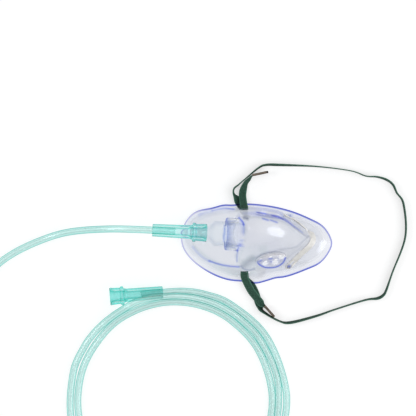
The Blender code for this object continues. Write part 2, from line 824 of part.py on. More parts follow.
def build_inlet_adapter(material):
    """The rigid adapter: its socket end sits in the neck and its nipple points out."""
    tip = ADAPTER_CONE_END + NIPPLE_LENGTH
    bore = ADAPTER_RADIUS - ADAPTER_WALL
    profile = [
        (-ADAPTER_INSERTION, bore),
        (-ADAPTER_INSERTION, ADAPTER_RADIUS - 0.3 * MM),
        (0, ADAPTER_RADIUS),
        (ADAPTER_SHOULDER, ADAPTER_RADIUS),
        (ADAPTER_SHOULDER + 0.8 * MM, ADAPTER_RADIUS - 1.0 * MM),
        (ADAPTER_CONE_END, NIPPLE_RADIUS + 0.5 * MM),
        (ADAPTER_CONE_END + 1.2 * MM, NIPPLE_RADIUS),
        (tip - 5.0 * MM, NIPPLE_RADIUS),
        (tip - 5.0 * MM, NIPPLE_BARB_RADIUS),
        (tip, NIPPLE_RADIUS - 0.5 * MM),
        (tip, NIPPLE_BORE_RADIUS),
        (ADAPTER_CONE_END - 1.0 * MM, NIPPLE_BORE_RADIUS),
        (ADAPTER_SHOULDER, bore - 1.0 * MM),
        (ADAPTER_SHOULDER - 1.5 * MM, bore),
    ]
    bm = bmesh.new()
    turned(bm, profile, neck_frame(), 36)
    return add_object("inlet_adapter", bm, material)


def connector_profile():
    """Closed profile of a connector, along its axis from the cuff's mouth."""
    ring_end = CUFF_LENGTH + FLANGE_RING_WIDTH
    tube_bore = TUBE_RADIUS + FIT_GAP
    nipple_bore = NIPPLE_BARB_RADIUS + FIT_GAP
    return [
        (0, CUFF_MOUTH_BORE_RADIUS),
        (0, CUFF_RADIUS),
        (CUFF_LENGTH, CUFF_NECK_RADIUS),
        (CUFF_LENGTH + 0.5 * MM, FLANGE_RING_RADIUS),
        (ring_end - 0.5 * MM, FLANGE_RING_RADIUS),
        (ring_end, SLEEVE_ROOT_RADIUS + 0.6 * MM),
        (ring_end + 2.0 * MM, SLEEVE_ROOT_RADIUS),
        (CONNECTOR_LENGTH - 0.5 * MM, SLEEVE_TIP_RADIUS),
        (CONNECTOR_LENGTH, SLEEVE_TIP_RADIUS - 0.5 * MM),
        (CONNECTOR_LENGTH, tube_bore),
        (ring_end + 4.0 * MM, tube_bore),
        (ring_end + 2.0 * MM, nipple_bore),
        (CUFF_LENGTH * 0.5, nipple_bore),
    ]


def build_connector(name, frame, material):
    """A soft connector whose cuff's mouth is at the frame's origin and whose body runs along x."""
    bm = bmesh.new()
    turned(bm, connector_profile(), Matrix.Identity(4), 28)
    connector = add_object(name, bm, material)
    connector.matrix_world = frame
    return connector


def mask_connector_frame():
    """Frame of the connector on the adapter."""
    return neck_frame() @ Matrix.Translation((ADAPTER_CONE_END + CONNECTOR_STANDOFF, 0, 0))


def source_connector_frame():
    """Frame of the connector at the tubing's far end, lying on the table."""
    return axis_frame(SOURCE_MOUTH, SOURCE_SLEEVE_END - SOURCE_MOUTH)


def tube_points():
    """Points of the uncoiled tubing, from inside its connector to the coil."""
    frame = mask_connector_frame()
    start = [
        frame @ Vector((CONNECTOR_LENGTH - TUBE_SEAT_DEPTH, 0, 0)),
        frame @ Vector((CONNECTOR_LENGTH - TUBE_SEAT_DEPTH / 2, 0, 0)),
        frame @ Vector((CONNECTOR_LENGTH, 0, 0)),
    ]
    return through(start + [Vector(p) * MM for p in TUBE_ROUTE], TUBE_POINTS_PER_STEP)


def add_tube(name, points, radius, material=None):
    """A curve object with flat ends through the points."""
    curve = bpy.data.curves.new(name, "CURVE")
    curve.dimensions = "3D"
    curve.bevel_depth = radius
    curve.bevel_resolution = 2
    curve.use_fill_caps = True
    spline = curve.splines.new("POLY")
    spline.points.add(len(points) - 1)
    for place, point in zip(spline.points, points):
        place.co = (*point, 1)
    spline.use_smooth = True
    item = bpy.data.objects.new(name, curve)
    bpy.context.collection.objects.link(item)
    if material:
        curve.materials.append(material)
    return item


def build_tube_coil(material):
    """The coil's outer shape, notched for the tubing that runs in and for the connector that it ends in."""
    low, high = FIT_GAP, COIL_HEIGHT
    inner, outer, corner = COIL_INNER_RADIUS, COIL_OUTER_RADIUS, COIL_CORNER
    profile = [
        (low, inner + corner),
        (low, outer - corner),
        (low + corner, outer),
        (high - corner, outer),
        (high, outer - corner),
        (high, inner + corner),
        (high - corner, inner),
        (low + corner, inner),
    ]
    bm = bmesh.new()
    up = axis_frame(COIL_CENTRE, Vector((0, 0, 1)), Vector((1, 0, 0)))
    turned(bm, profile, up, 72)
    coil = add_object("tube_coil", bm, material)

    frame = source_connector_frame()
    bm = bmesh.new()
    ring_end = CUFF_LENGTH + FLANGE_RING_WIDTH
    wide, room = FLANGE_RING_RADIUS + FIT_GAP * 2, SLEEVE_ROOT_RADIUS + FIT_GAP * 2
    profile = [(-FIT_GAP, wide), (ring_end + FIT_GAP, wide), (ring_end + 2.0 * MM, room)]
    solid_of_turned(bm, profile + [(CONNECTOR_LENGTH + FIT_GAP, room)], frame, 24)
    tube = tube_points()
    along = tube[-1] - tube[-2]
    entry = axis_frame(tube[-1] - along.normalized() * 30 * MM, along)
    room = TUBE_RADIUS + FIT_GAP
    solid_of_turned(bm, [(0, room), (30 * MM + FIT_GAP, room)], entry, 16)
    notch = as_cutter(add_object("coil_notch_cutters", bm))
    add_boolean(coil, "DIFFERENCE", notch)

    bm = bmesh.new()
    seat = CONNECTOR_LENGTH - TUBE_SEAT_DEPTH
    solid_of_turned(
        bm, [(seat, TUBE_RADIUS), (CONNECTOR_LENGTH + COIL_CORNER * 2, TUBE_RADIUS)], frame, 12
    )
    tail = as_cutter(add_object("tube_tail_blank", bm))
    add_boolean(coil, "UNION", tail)
    return coil


# Head strap


def beside_bead(side, outside):
    """The band's middle where it rounds the rim: straight over it, or low on the inside of it."""
    drift_over, drift_under = STRAP_DRIFTS[side]
    reach = RIM_BEAD_RADIUS + STRAP_THICKNESS / 2 + STRAP_CLEARANCE
    if outside:
        drift, angle, reach = drift_over, math.radians(90), reach + STRAP_SLACK / 2
    else:
        drift, angle, reach = drift_under, math.radians(-65), reach + STRAP_SLACK
    y = side * (rim_half_width(SLOT_X) - RIM_BEAD_RADIUS - reach * math.cos(angle))
    z = RIM_BEAD_RADIUS + STRAP_LIFT + reach * math.sin(angle)
    return settled(SLOT_X + drift, y, z)


def beside_flange(side, distance, outside, share):
    """The band's middle along the flange, at a distance in from the rim, with a share of its drift."""
    x, y = SLOT_X, side * (rim_half_width(SLOT_X) - distance)
    standoff = STRAP_THICKNESS / 2 + STRAP_CLEARANCE + STRAP_SLACK
    if not outside:
        standoff = -standoff - SHELL_WALL
    drift = share * STRAP_DRIFTS[side][0 if outside else 1]
    return shell_point(x, y) + standoff * shell_normal(x, y) + Vector((drift, 0, 0))


def slot_turn(side):
    """Stations from over the rim, in through the slot and back out under the rim."""
    frame = surface_frame(SLOT_X, side * SLOT_Y)
    up = math.copysign(1, frame.col[1].z)
    radius = SHELL_WALL / 2 + STRAP_THICKNESS / 2 + STRAP_CLEARANCE
    points = [beside_flange(side, 3.2 * MM, True, 0.5)]
    for degrees in (90, 45, 0, -45, -90):
        angle = math.radians(degrees)
        along = up * (radius * math.cos(angle) - SLOT_WIDTH / 2)
        points.append(frame @ Vector((0, along, radius * math.sin(angle) - SHELL_WALL / 2)))
    points += [beside_flange(side, 4.2 * MM, False, 0.15), beside_flange(side, 2.9 * MM, False, 0.45)]
    return [
        (beside_bead(side, True), 0, 1),
        *((point, None, 0) for point in points),
        (beside_bead(side, False), 0, -1),
    ]


def resting_height(lean):
    """Height of the band's middle where it lies on the table and leans by an angle from flat."""
    edge = STRAP_WIDTH / 2 * math.sin(lean) + STRAP_THICKNESS / 2 * abs(math.cos(lean))
    return edge + STRAP_TABLE_GAP


def strap_stations():
    """(point, lean or None, side of the heading that a flat band's width points to) on the route."""
    stations = [(Vector(row[:3]) * MM, math.radians(row[3]), 1) for row in STRAP_UPPER_TAIL]
    stations += slot_turn(1)
    for x, y, degrees in STRAP_LOOP:
        lean = math.radians(degrees)
        stations.append((Vector((x * MM, y * MM, resting_height(lean))), lean, -1))
    stations += reversed(slot_turn(-1))
    stations += [(Vector(row[:3]) * MM, math.radians(row[3]), 1) for row in STRAP_LOWER_TAIL]
    return stations


def strap_frames():
    """Frames along the band: x along it and z across its width."""
    stations = strap_stations()
    last = len(stations) - 1
    widths = []
    for k, (_, lean, side) in enumerate(stations):
        if lean is None:
            widths.append(Vector((1, 0, 0)))
            continue
        heading = stations[min(k + 1, last)][0] - stations[max(k - 1, 0)][0]
        level = side * Vector((-heading.y, heading.x, 0)).normalized()
        widths.append(math.cos(lean) * level - math.sin(lean) * Vector((0, 0, 1)))
    points = through([point for point, _, _ in stations], STRAP_POINTS_PER_STEP)
    widths = through(widths, STRAP_POINTS_PER_STEP)
    widths = [sum(widths[max(k - 2, 0) : k + 3], Vector()).normalized() for k in range(len(widths))]
    frames = []
    for k, (point, width) in enumerate(zip(points, widths)):
        along = points[min(k + 1, len(points) - 1)] - points[max(k - 1, 0)]
        frame = axis_frame(point, along, width)
        low = resting_height(math.asin(min(abs(frame.col[2].z), 1)))
        frame.translation.z = max(point.z, low)
        frames.append(frame)
    return frames


def build_head_strap(material):
    """The flat band, swept along its route."""
    half_width, half_thickness = STRAP_WIDTH / 2, STRAP_THICKNESS / 2
    corners = [(-half_thickness, -half_width), (half_thickness, -half_width)]
    corners += [(half_thickness, half_width), (-half_thickness, half_width)]
    bm = bmesh.new()
    rings = [
        [bm.verts.new(frame @ Vector((0, y, z))) for y, z in corners] for frame in strap_frames()
    ]
    for ring, other in zip(rings, rings[1:]):
        bridge_rings(bm, ring, other)
    fill_ring(bm, rings[0])
    fill_ring(bm, rings[-1])
    return add_object("head_strap", bm, material)


def chamfered(half_thickness, half_width, corner):
    """Corners of a rectangle with cut corners, in order."""
    a, b = half_thickness, half_width
    return [
        (a, b - corner), (a - corner, b), (corner - a, b), (-a, b - corner),
        (-a, corner - b), (corner - a, -b), (a - corner, -b), (a, corner - b),
    ]


def build_strap_tip(name, end, inner, material):
    """The crimped sleeve round one end of the band; inner is a frame further along the band."""
    out = (end.translation - inner.translation).normalized()
    far = end.translation + out * (TIP_LENGTH - TIP_GRIP)
    frame = axis_frame(far, -out, end.to_3x3() @ Vector((0, 0, 1)))
    room_thickness = STRAP_THICKNESS / 2 + FIT_GAP
    room_width = STRAP_WIDTH / 2 + FIT_GAP
    inside = chamfered(room_thickness, room_width, TIP_CORNER / 2)
    outside = chamfered(room_thickness + TIP_WALL, room_width + TIP_WALL, TIP_CORNER * 2)
    bm = bmesh.new()
    rings = []
    for x, loop in ((0, inside), (0, outside), (TIP_LENGTH, outside), (TIP_LENGTH, inside)):
        rings.append([bm.verts.new(frame @ Vector((x, y, z))) for y, z in loop])
    for k, ring in enumerate(rings):
        bridge_rings(bm, ring, rings[(k + 1) % len(rings)])
    return add_object(name, bm, material)


MATERIALS = {
    "clear_pvc": ((0.80, 0.83, 0.92), 0.12, 0.0, 0.9),
    "clear_rigid": ((0.92, 0.94, 0.95), 0.05, 0.0, 0.95),
    "teal_soft": ((0.25, 0.82, 0.76), 0.25, 0.0, 0.5),
    "pale_teal_tube": ((0.62, 0.87, 0.83), 0.2, 0.0, 0.6),
    "aluminium": ((0.72, 0.71, 0.68), 0.35, 1.0, 0.0),
    "green_elastic": ((0.035, 0.10, 0.065), 0.85, 0.0, 0.0),
    "tip_metal": ((0.30, 0.26, 0.22), 0.4, 1.0, 0.0),
}


def main():
    """Clears the scene and builds every piece."""
    for item in list(bpy.data.objects):
        bpy.data.objects.remove(item, do_unlink=True)
    made = {name: make_material(name, *values) for name, values in MATERIALS.items()}
    build_mask_body(made["clear_pvc"])
    build_nose_clip(made["aluminium"])
    build_inlet_adapter(made["clear_rigid"])
    build_connector("mask_connector", mask_connector_frame(), made["teal_soft"])
    build_connector("source_connector", source_connector_frame(), made["teal_soft"])
    add_tube("supply_tube", tube_points(), TUBE_RADIUS, made["pale_teal_tube"])
    build_tube_coil(made["pale_teal_tube"])
    build_head_strap(made["green_elastic"])
    frames = strap_frames()
    build_strap_tip("strap_tip_upper", frames[0], frames[1], made["tip_metal"])
    build_strap_tip("strap_tip_lower", frames[-1], frames[-2], made["tip_metal"])


main()
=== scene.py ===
"""Oxygen face mask with its tubing and head strap, dressed and lit as the photograph shows it.

Metres, +Z up. The mask lies face down on a white table, with its nose end towards +X, and the
camera looks straight down on it. Every piece sits where the CAD node that it stands for sits.
"""

import logging
import math
from collections.abc import Sequence
from dataclasses import dataclass, field, replace
from enum import Enum

import bmesh
import bpy
import numpy as np
from mathutils import Matrix, Vector


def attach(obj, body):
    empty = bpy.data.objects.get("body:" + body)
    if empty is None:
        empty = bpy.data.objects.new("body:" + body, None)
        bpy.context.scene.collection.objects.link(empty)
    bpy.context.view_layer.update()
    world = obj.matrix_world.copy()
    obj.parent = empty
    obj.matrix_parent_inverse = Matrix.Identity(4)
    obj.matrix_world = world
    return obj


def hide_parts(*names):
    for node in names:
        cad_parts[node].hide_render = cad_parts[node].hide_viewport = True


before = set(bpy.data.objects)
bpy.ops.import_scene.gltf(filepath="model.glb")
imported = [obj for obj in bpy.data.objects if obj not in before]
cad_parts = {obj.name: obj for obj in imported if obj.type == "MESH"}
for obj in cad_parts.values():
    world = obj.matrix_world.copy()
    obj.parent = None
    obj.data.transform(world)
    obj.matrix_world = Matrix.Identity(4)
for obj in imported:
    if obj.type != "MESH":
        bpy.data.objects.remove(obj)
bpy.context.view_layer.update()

LOG = logging.getLogger("oxygen_mask")
MM = 0.001
UP = Vector((0, 0, 1))

# Vertices nearer than this are one
MERGE = 0.002 * MM

Colour = tuple[float, float, float]
Point = tuple[float, float, float]
Flat = tuple[float, float]
Socket = bpy.types.NodeSocket


class MaterialSlot(Enum):
    """The record's material slots."""

    CLEAR_PVC = "clear_pvc"
    CLEAR_RIGID = "clear_rigid"
    TEAL_SOFT = "teal_soft"
    PALE_TEAL_TUBE = "pale_teal_tube"
    ALUMINIUM = "aluminium"
    GREEN_ELASTIC = "green_elastic"
    TIP_METAL = "tip_metal"


class Side(Enum):
    """The mask's long sides, by the sign of y: the far one is the upper one in the picture."""

    FAR = 1
    NEAR = -1


# Working with the mesh tools


def deselect_all() -> None:
    """Leaves edit mode and deselects every object."""
    if bpy.context.object and bpy.context.object.mode != "OBJECT":
        bpy.ops.object.mode_set(mode="OBJECT")
    bpy.ops.object.select_all(action="DESELECT")


def pick(item: bpy.types.Object) -> None:
    """Selects one object alone and makes it the active one.

    Args:
        item: The object.
    """
    deselect_all()
    item.select_set(True)
    bpy.context.view_layer.objects.active = item


def weld(item: bpy.types.Object) -> None:
    """Merges the vertices of a mesh that lie on one another.

    Args:
        item: The mesh object, which is left in edit mode with all of it selected.
    """
    pick(item)
    bpy.ops.object.mode_set(mode="EDIT")
    bpy.ops.mesh.select_all(action="SELECT")
    bpy.ops.mesh.remove_doubles(threshold=MERGE)


def smooth(item: bpy.types.Object, degrees: float) -> None:
    """Shades an object smooth, except at its sharp edges.

    Args:
        item: The mesh object.
        degrees: Edges sharper than this stay sharp.
    """
    pick(item)
    bpy.ops.object.shade_smooth_by_angle(angle=math.radians(degrees))
    deselect_all()


def copy_of_node(node: str, name: str, degrees: float) -> bpy.types.Object:
    """Copies a CAD node with its doubles merged, to be dressed in its place.

    Args:
        node: Name of the CAD node.
        name: Name of the new piece.
        degrees: Edges sharper than this stay sharp.

    Returns:
        The new piece, with no material.
    """
    source = bpy.data.objects[node]
    copy = source.copy()
    copy.data = source.data.copy()
    copy.name = copy.data.name = name
    copy.data.materials.clear()
    for key in list(copy.keys()):
        del copy[key]
    bpy.context.scene.collection.objects.link(copy)
    copy.hide_render = False
    weld(copy)
    smooth(copy, degrees)
    return copy


def spun(name: str, profile: Sequence[Flat], place: Matrix, steps: int) -> bpy.types.Object:
    """Spins a closed profile round the x axis of a frame.

    Args:
        name: Name of the new piece.
        profile: Corners of (along, radius), in order round the section.
        place: Frame whose x axis is the axis.
        steps: Number of steps in the full turn.

    Returns:
        The new piece, with its place in its mesh.
    """
    deselect_all()
    bpy.ops.mesh.primitive_circle_add(vertices=len(profile), radius=MM)
    item = bpy.context.object
    item.name = item.data.name = name
    for vertex, (along, radius) in zip(item.data.vertices, profile):
        vertex.co = (along, radius, 0)
    bpy.ops.object.mode_set(mode="EDIT")
    bpy.ops.mesh.select_all(action="SELECT")
    bpy.ops.mesh.spin(steps=steps, angle=2 * math.pi, center=(0, 0, 0), axis=(1, 0, 0))
    bpy.ops.object.mode_set(mode="OBJECT")
    item.data.transform(place)
    weld(item)
    bpy.ops.mesh.normals_make_consistent(inside=False)
    deselect_all()
    return item


def rounded(profile: Sequence[Flat], radius: float, steps: int = 3) -> list[Flat]:
    """Rounds the corners of a closed profile.

    Args:
        profile: Corners in order.
        radius: How far the rounding takes up each side, less where a side is short.
        steps: Steps in each corner.

    Returns:
        The corners of the rounded profile.
    """
    most_of_side = 0.45
    corners = [Vector(p) for p in profile]
    found: list[Flat] = []
    for k, corner in enumerate(corners):
        before, after = corners[k - 1], corners[(k + 1) % len(corners)]
        shorter = min((corner - before).length, (after - corner).length)
        reach = min(radius, shorter * most_of_side)
        start = corner + (before - corner).normalized() * reach
        end = corner + (after - corner).normalized() * reach
        for i in range(steps + 1):
            t = i / steps
            place = start * (1 - t) ** 2 + corner * 2 * t * (1 - t) + end * t**2
            found.append((place.x, place.y))
    return found


def on_circle(radius: float, angle: float) -> Flat:
    """A point of a circle round the origin, at an angle in radians."""
    return radius * math.cos(angle), radius * math.sin(angle)


def through(points: Sequence[Vector], steps: int) -> list[Vector]:
    """Points of a smooth curve through vectors.

    Args:
        points: The vectors that it passes.
        steps: Points from one vector to the next.

    Returns:
        The points, with the last vector at their end.
    """
    found: list[Vector] = []
    last = len(points) - 1
    for k in range(last):
        p0, p1 = points[max(k - 1, 0)], points[k]
        p2, p3 = points[k + 1], points[min(k + 2, last)]
        for i in range(steps):
            t = i / steps
            found.append(
                0.5 * ((2 * p1) + (p2 - p0) * t + (2 * p0 - 5 * p1 + 4 * p2 - p3) * t**2)
                + 0.5 * (3 * p1 - p0 - 3 * p2 + p3) * t**3
            )
    found.append(points[-1].copy())
    return found


def run_lengths(line: Sequence[Vector]) -> list[float]:
    """Measures along a line.

    Args:
        line: Its points.

    Returns:
        The distance along it at each point.
    """
    gone = [0.0]
    for a, b in zip(line, line[1:]):
        gone.append(gone[-1] + (b - a).length)
    return gone


def headings(line: Sequence[Vector]) -> list[Vector]:
    """The way a line goes at each of its points, from the point before to the one after."""
    last = len(line) - 1
    return [line[min(k + 1, last)] - line[max(k - 1, 0)] for k in range(last + 1)]


def axis_frame(origin: Vector, along: Vector, up: Vector = UP) -> Matrix:
    """Makes a frame at a place.

    Args:
        origin: The place.
        along: The way its x axis points.
        up: The way its z axis points, as nearly as it can.

    Returns:
        The frame as a matrix.
    """
    x = along.normalized()
    y = up.cross(x).normalized()
    matrix = Matrix((x, y, x.cross(y))).transposed().to_4x4()
    matrix.translation = origin
    return matrix


def end_faces(rings: Sequence[Sequence[int]]) -> list[list[int]]:
    """Closes the end of a swept section.

    Args:
        rings: Vertex numbers round the outer section and, where there is one, the inner one.

    Returns:
        The corners of the faces that close the first end, facing back from it.
    """
    if len(rings) == 1:
        return [list(rings[0])[::-1]]
    outer, inner = rings
    found = []
    for i in range(len(outer)):
        j = (i + 1) % len(outer)
        a = inner[i * len(inner) // len(outer)]
        b = inner[(j * len(inner) // len(outer)) % len(inner)]
        found.append(list(dict.fromkeys((outer[i], a, b, outer[j]))))
    return found


def swept(
    name: str, frames: Sequence[Matrix], loops: Sequence[Sequence[Flat]], along: Sequence[float]
) -> bpy.types.Object:
    """Sweeps one closed section, or an outer and an inner one, along a row of frames.

    Args:
        name: Name of the new piece.
        frames: Frames whose x axis follows the line.
        loops: Corners of (y, z) of the outer section and, where there is one, the inner one.
        along: Distance along the line at each frame, kept in the UV map.

    Returns:
        The new piece: u runs along it in metres, v once round it.
    """
    points: list[Vector] = []
    faces: list[list[int]] = []
    places: list[list[Flat]] = []
    starts: list[int] = []
    for number, loop in enumerate(loops):
        count, start = len(loop), len(points)
        starts.append(start)
        for matrix in frames:
            points.extend(matrix @ Vector((0, y, z)) for y, z in loop)
        for k in range(len(frames) - 1):
            a, b = start + k * count, start + (k + 1) * count
            for i in range(count):
                j = (i + 1) % count
                quad = [a + i, a + j, b + j, b + i]
                u0, u1, v0, v1 = along[k], along[k + 1], i / count, (i + 1) / count
                uv = [(u0, v0), (u0, v1), (u1, v1), (u1, v0)]
                if number == 1:
                    quad.reverse()
                    uv.reverse()
                faces.append(quad)
                places.append(uv)
    for k in (0, len(frames) - 1):
        rings = [range(s + k * len(loop), s + (k + 1) * len(loop)) for s, loop in zip(starts, loops)]
        for cap in end_faces(rings):
            faces.append(cap[::-1] if k else cap)
            places.append([(along[k], 0.5)] * len(cap))
    mesh = bpy.data.meshes.new(name)
    mesh.from_pydata([tuple(p) for p in points], [], faces)
    layer = mesh.uv_layers.new(name="run")
    for entry, uv in zip(layer.data, [uv for face in places for uv in face]):
        entry.uv = uv
    item = bpy.data.objects.new(name, mesh)
    bpy.context.scene.collection.objects.link(item)
    return item


def finish_piece(item: bpy.types.Object, slot: MaterialSlot, *nodes: str) -> None:
    """Makes a piece ride on the body and stand for its CAD nodes, which it hides.

    Args:
        item: The piece.
        slot: Its slot in the record, which is not used.
        *nodes: The CAD nodes that it stands for.
    """
    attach(item, "root")
    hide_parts(*nodes)
    LOG.info("%s: %d faces, for %s", item.name, len(item.data.polygons), ", ".join(nodes))


# Finishes


class Nodes:
    """Adds nodes to a tree and links them in one line."""

    def __init__(self, tree: bpy.types.NodeTree) -> None:
        """Keeps the tree."""
        self.tree = tree

    def add(self, kind: str, settings: dict | None = None, **inputs: object) -> bpy.types.Node:
        """Adds a node.

        Args:
            kind: Blender's name of the node's type.
            settings: Properties of the node.
            **inputs: Sockets by name, with _ for a space, or as _ and their number: a value, or
                another node's output.

        Returns:
            The node.
        """
        node = self.tree.nodes.new(kind)
        for key, value in (settings or {}).items():
            setattr(node, key, value)
        for key, value in inputs.items():
            socket = node.inputs[int(key[1:]) if key[0] == "_" else key.replace("_", " ")]
            if isinstance(value, Socket):
                self.tree.links.new(value, socket)
            else:
                socket.default_value = value
        return node

    def math(self, operation: str, *values: object) -> Socket:
        """Adds a Math node.

        Args:
            operation: Blender's name of what it does.
            *values: Its inputs in order: a number, or another node's output.

        Returns:
            Its output.
        """
        inputs = {f"_{number}": value for number, value in enumerate(values)}
        return self.add("ShaderNodeMath", {"operation": operation}, **inputs).outputs[0]

    def mix_colour(self, settings: dict, share: object, first: object, second: object) -> Socket:
        """Adds a Mix node for colours.

        Args:
            settings: Properties of the node.
            share: How much of the second colour it takes: a number, or another node's output.
            first: The first colour, or another node's output.
            second: The second colour, or another node's output.

        Returns:
            Its output.
        """
        both = {"data_type": "RGBA", **settings}
        return self.add("ShaderNodeMix", both, _0=share, _6=first, _7=second).outputs[2]

    def tinted(self, colour: Socket, tone: Socket) -> Socket:
        """A colour times another one, no brighter than white."""
        return self.mix_colour({"blend_type": "MULTIPLY", "clamp_result": True}, 1.0, colour, tone)

    def noise(self, place: Socket, scale: object, detail: float) -> Socket:
        """A noise of a scale and detail, read at a place."""
        return self.add("ShaderNodeTexNoise", None, Vector=place, Scale=scale, Detail=detail).outputs["Fac"]

    def bump(self, height: Socket, strength: float, distance: float) -> Socket:
        """A normal that a height tilts, by a strength and over a distance."""
        settings = {"Strength": strength, "Distance": distance, "Height": height}
        return self.add("ShaderNodeBump", None, **settings).outputs["Normal"]

    def facing(self) -> Socket:
        """How far the surface turns from the eye: 0 face on, 1 edge on."""
        return self.add("ShaderNodeLayerWeight", None, Blend=0.5).outputs["Facing"]

    def place(self) -> Socket:
        """The place in the object's own coordinates, in metres."""
        return self.add("ShaderNodeTexCoord").outputs["Object"]

    def ramp(self, factor: Socket, stops: Sequence[tuple[float, Colour]]) -> Socket:
        """Adds a colour ramp.

        Args:
            factor: What it reads.
            stops: (place, colour) of each stop, in order.

        Returns:
            Its colour output.
        """
        node = self.add("ShaderNodeValToRGB", None, Fac=factor)
        marks = node.color_ramp.elements
        while len(marks) < len(stops):
            marks.new(0.5)
        for mark, (place, colour) in zip(marks, stops):
            mark.position = place
            mark.color = (*colour, 1)
        return node.outputs["Color"]


def new_material(name: str) -> tuple[bpy.types.Material, Nodes]:
    """Starts a material with no nodes.

    Args:
        name: Its name.

    Returns:
        The material, and what adds nodes to it.
    """
    material = bpy.data.materials.new(name)
    material.use_nodes = True
    material.node_tree.nodes.clear()
    return material, Nodes(material.node_tree)


def build_moulding_flow() -> bpy.types.NodeTree:
    """Builds the soft unevenness of moulded plastic: slow waves with a fine grain on them.

    Returns:
        A group that reads a place, and puts out a height and the waves alone as a mask.
    """
    grain_is_finer = 14.0
    group = bpy.data.node_groups.new("moulding_flow", "ShaderNodeTree")
    group.interface.new_socket("Vector", in_out="INPUT", socket_type="NodeSocketVector")
    for key, value in {"Scale": 60.0, "Grain": 0.3}.items():
        socket = group.interface.new_socket(key, in_out="INPUT", socket_type="NodeSocketFloat")
        socket.default_value = value
    for key in ("Height", "Mask"):
        group.interface.new_socket(key, in_out="OUTPUT", socket_type="NodeSocketFloat")
    kit = Nodes(group)
    given = kit.add("NodeGroupInput").outputs
    waves = kit.noise(given["Vector"], given["Scale"], 3.0)
    grain = kit.noise(given["Vector"], kit.math("MULTIPLY", given["Scale"], grain_is_finer), 2.0)
    height = kit.math("ADD", waves, kit.math("MULTIPLY", grain, given["Grain"]))
    kit.add("NodeGroupOutput", None, Height=height, Mask=waves)
    return group


@dataclass
class Effects:
    """The shader groups that more than one material uses, each built once."""

    moulding_flow: bpy.types.NodeTree = field(default_factory=build_moulding_flow)

    def flow(self, kit: Nodes, scale: float) -> bpy.types.Node:
        """Places the moulding flow in a material, on object coordinates, at a scale of its own."""
        return kit.add("ShaderNodeGroup", {"node_tree": self.moulding_flow}, Vector=kit.place(), Scale=scale)


@dataclass(frozen=True)
class Finish:
    """What the surface of a piece is like."""

    name: str

    def surface(self, kit: Nodes, effects: Effects) -> Socket:
        """Builds the finish's nodes.

        Args:
            kit: Adds nodes to the material.
            effects: The shared shader groups.

        Returns:
            The shader's output.
        """
        raise NotImplementedError

    def build(self, effects: Effects) -> bpy.types.Material:
        """Builds the material.

        Args:
            effects: The shared shader groups.

        Returns:
            The material.
        """
        material, kit = new_material(self.name)
        kit.add("ShaderNodeOutputMaterial", None, Surface=self.surface(kit, effects))
        return material


@dataclass(frozen=True)
class ClearFinish(Finish):
    """A see-through plastic that tints what is behind it, more so where it is seen edge on.

    A painted one also takes the tone of each place from the mesh, and its alpha as the gloss.
    """

    face_on: Colour
    slanted: Colour
    edge_on: Colour
    body: Colour
    body_shade: Colour
    haze: float
    edge_haze: float
    roughness: float
    shadow: Colour = (0.985, 0.987, 0.992)
    shadow_loses_gloss: float = 0.7
    slant_from: float = 0.6
    edge_from: float = 0.95
    painted: bool = False
    metallic: float = 0.35
    wave_scale: float = 60.0
    wave_depth: float = 0.15

    def surface(self, kit: Nodes, effects: Effects) -> Socket:
        """Builds a mix of a tinted see-through shader and a glossy one.

        Args:
            kit: Adds nodes to the material.
            effects: The shared shader groups.

        Returns:
            The shader's output.
        """
        flow = effects.flow(kit, self.wave_scale).outputs
        facing = kit.facing()
        stops = [(0.0, self.face_on), (self.slant_from, self.slanted), (self.edge_from, self.edge_on)]
        tint = kit.ramp(facing, stops)
        colour = kit.ramp(flow["Mask"], [(0.35, self.body), (0.65, self.body_shade)])
        grey = [(0.0, self.haze), (0.5, self.haze * 1.25), (1.0, self.edge_haze)]
        share = kit.ramp(facing, [(place, (value, value, value)) for place, value in grey])
        shadow = kit.add("ShaderNodeLightPath").outputs["Is Shadow Ray"]
        gloss = kit.math("MULTIPLY", share, kit.math("MULTIPLY_ADD", shadow, -self.shadow_loses_gloss, 1.0))
        if self.painted:
            paint = kit.add("ShaderNodeAttribute", {"attribute_name": "tone"}).outputs
            tint, colour = kit.tinted(tint, paint["Color"]), kit.tinted(colour, paint["Color"])
            gloss = kit.math("MULTIPLY", gloss, paint["Alpha"])
        passed = kit.mix_colour({}, shadow, tint, (*self.shadow, 1))
        clear = kit.add("ShaderNodeBsdfTransparent", None, Color=passed)
        glossy = kit.add(
            "ShaderNodeBsdfPrincipled",
            None,
            Base_Color=colour,
            Roughness=self.roughness,
            Metallic=self.metallic,
            Normal=kit.bump(flow["Height"], self.wave_depth, MM),
        )
        ends = {"_1": clear.outputs[0], "_2": glossy.outputs[0]}
        return kit.add("ShaderNodeMixShader", None, Fac=gloss, **ends).outputs[0]


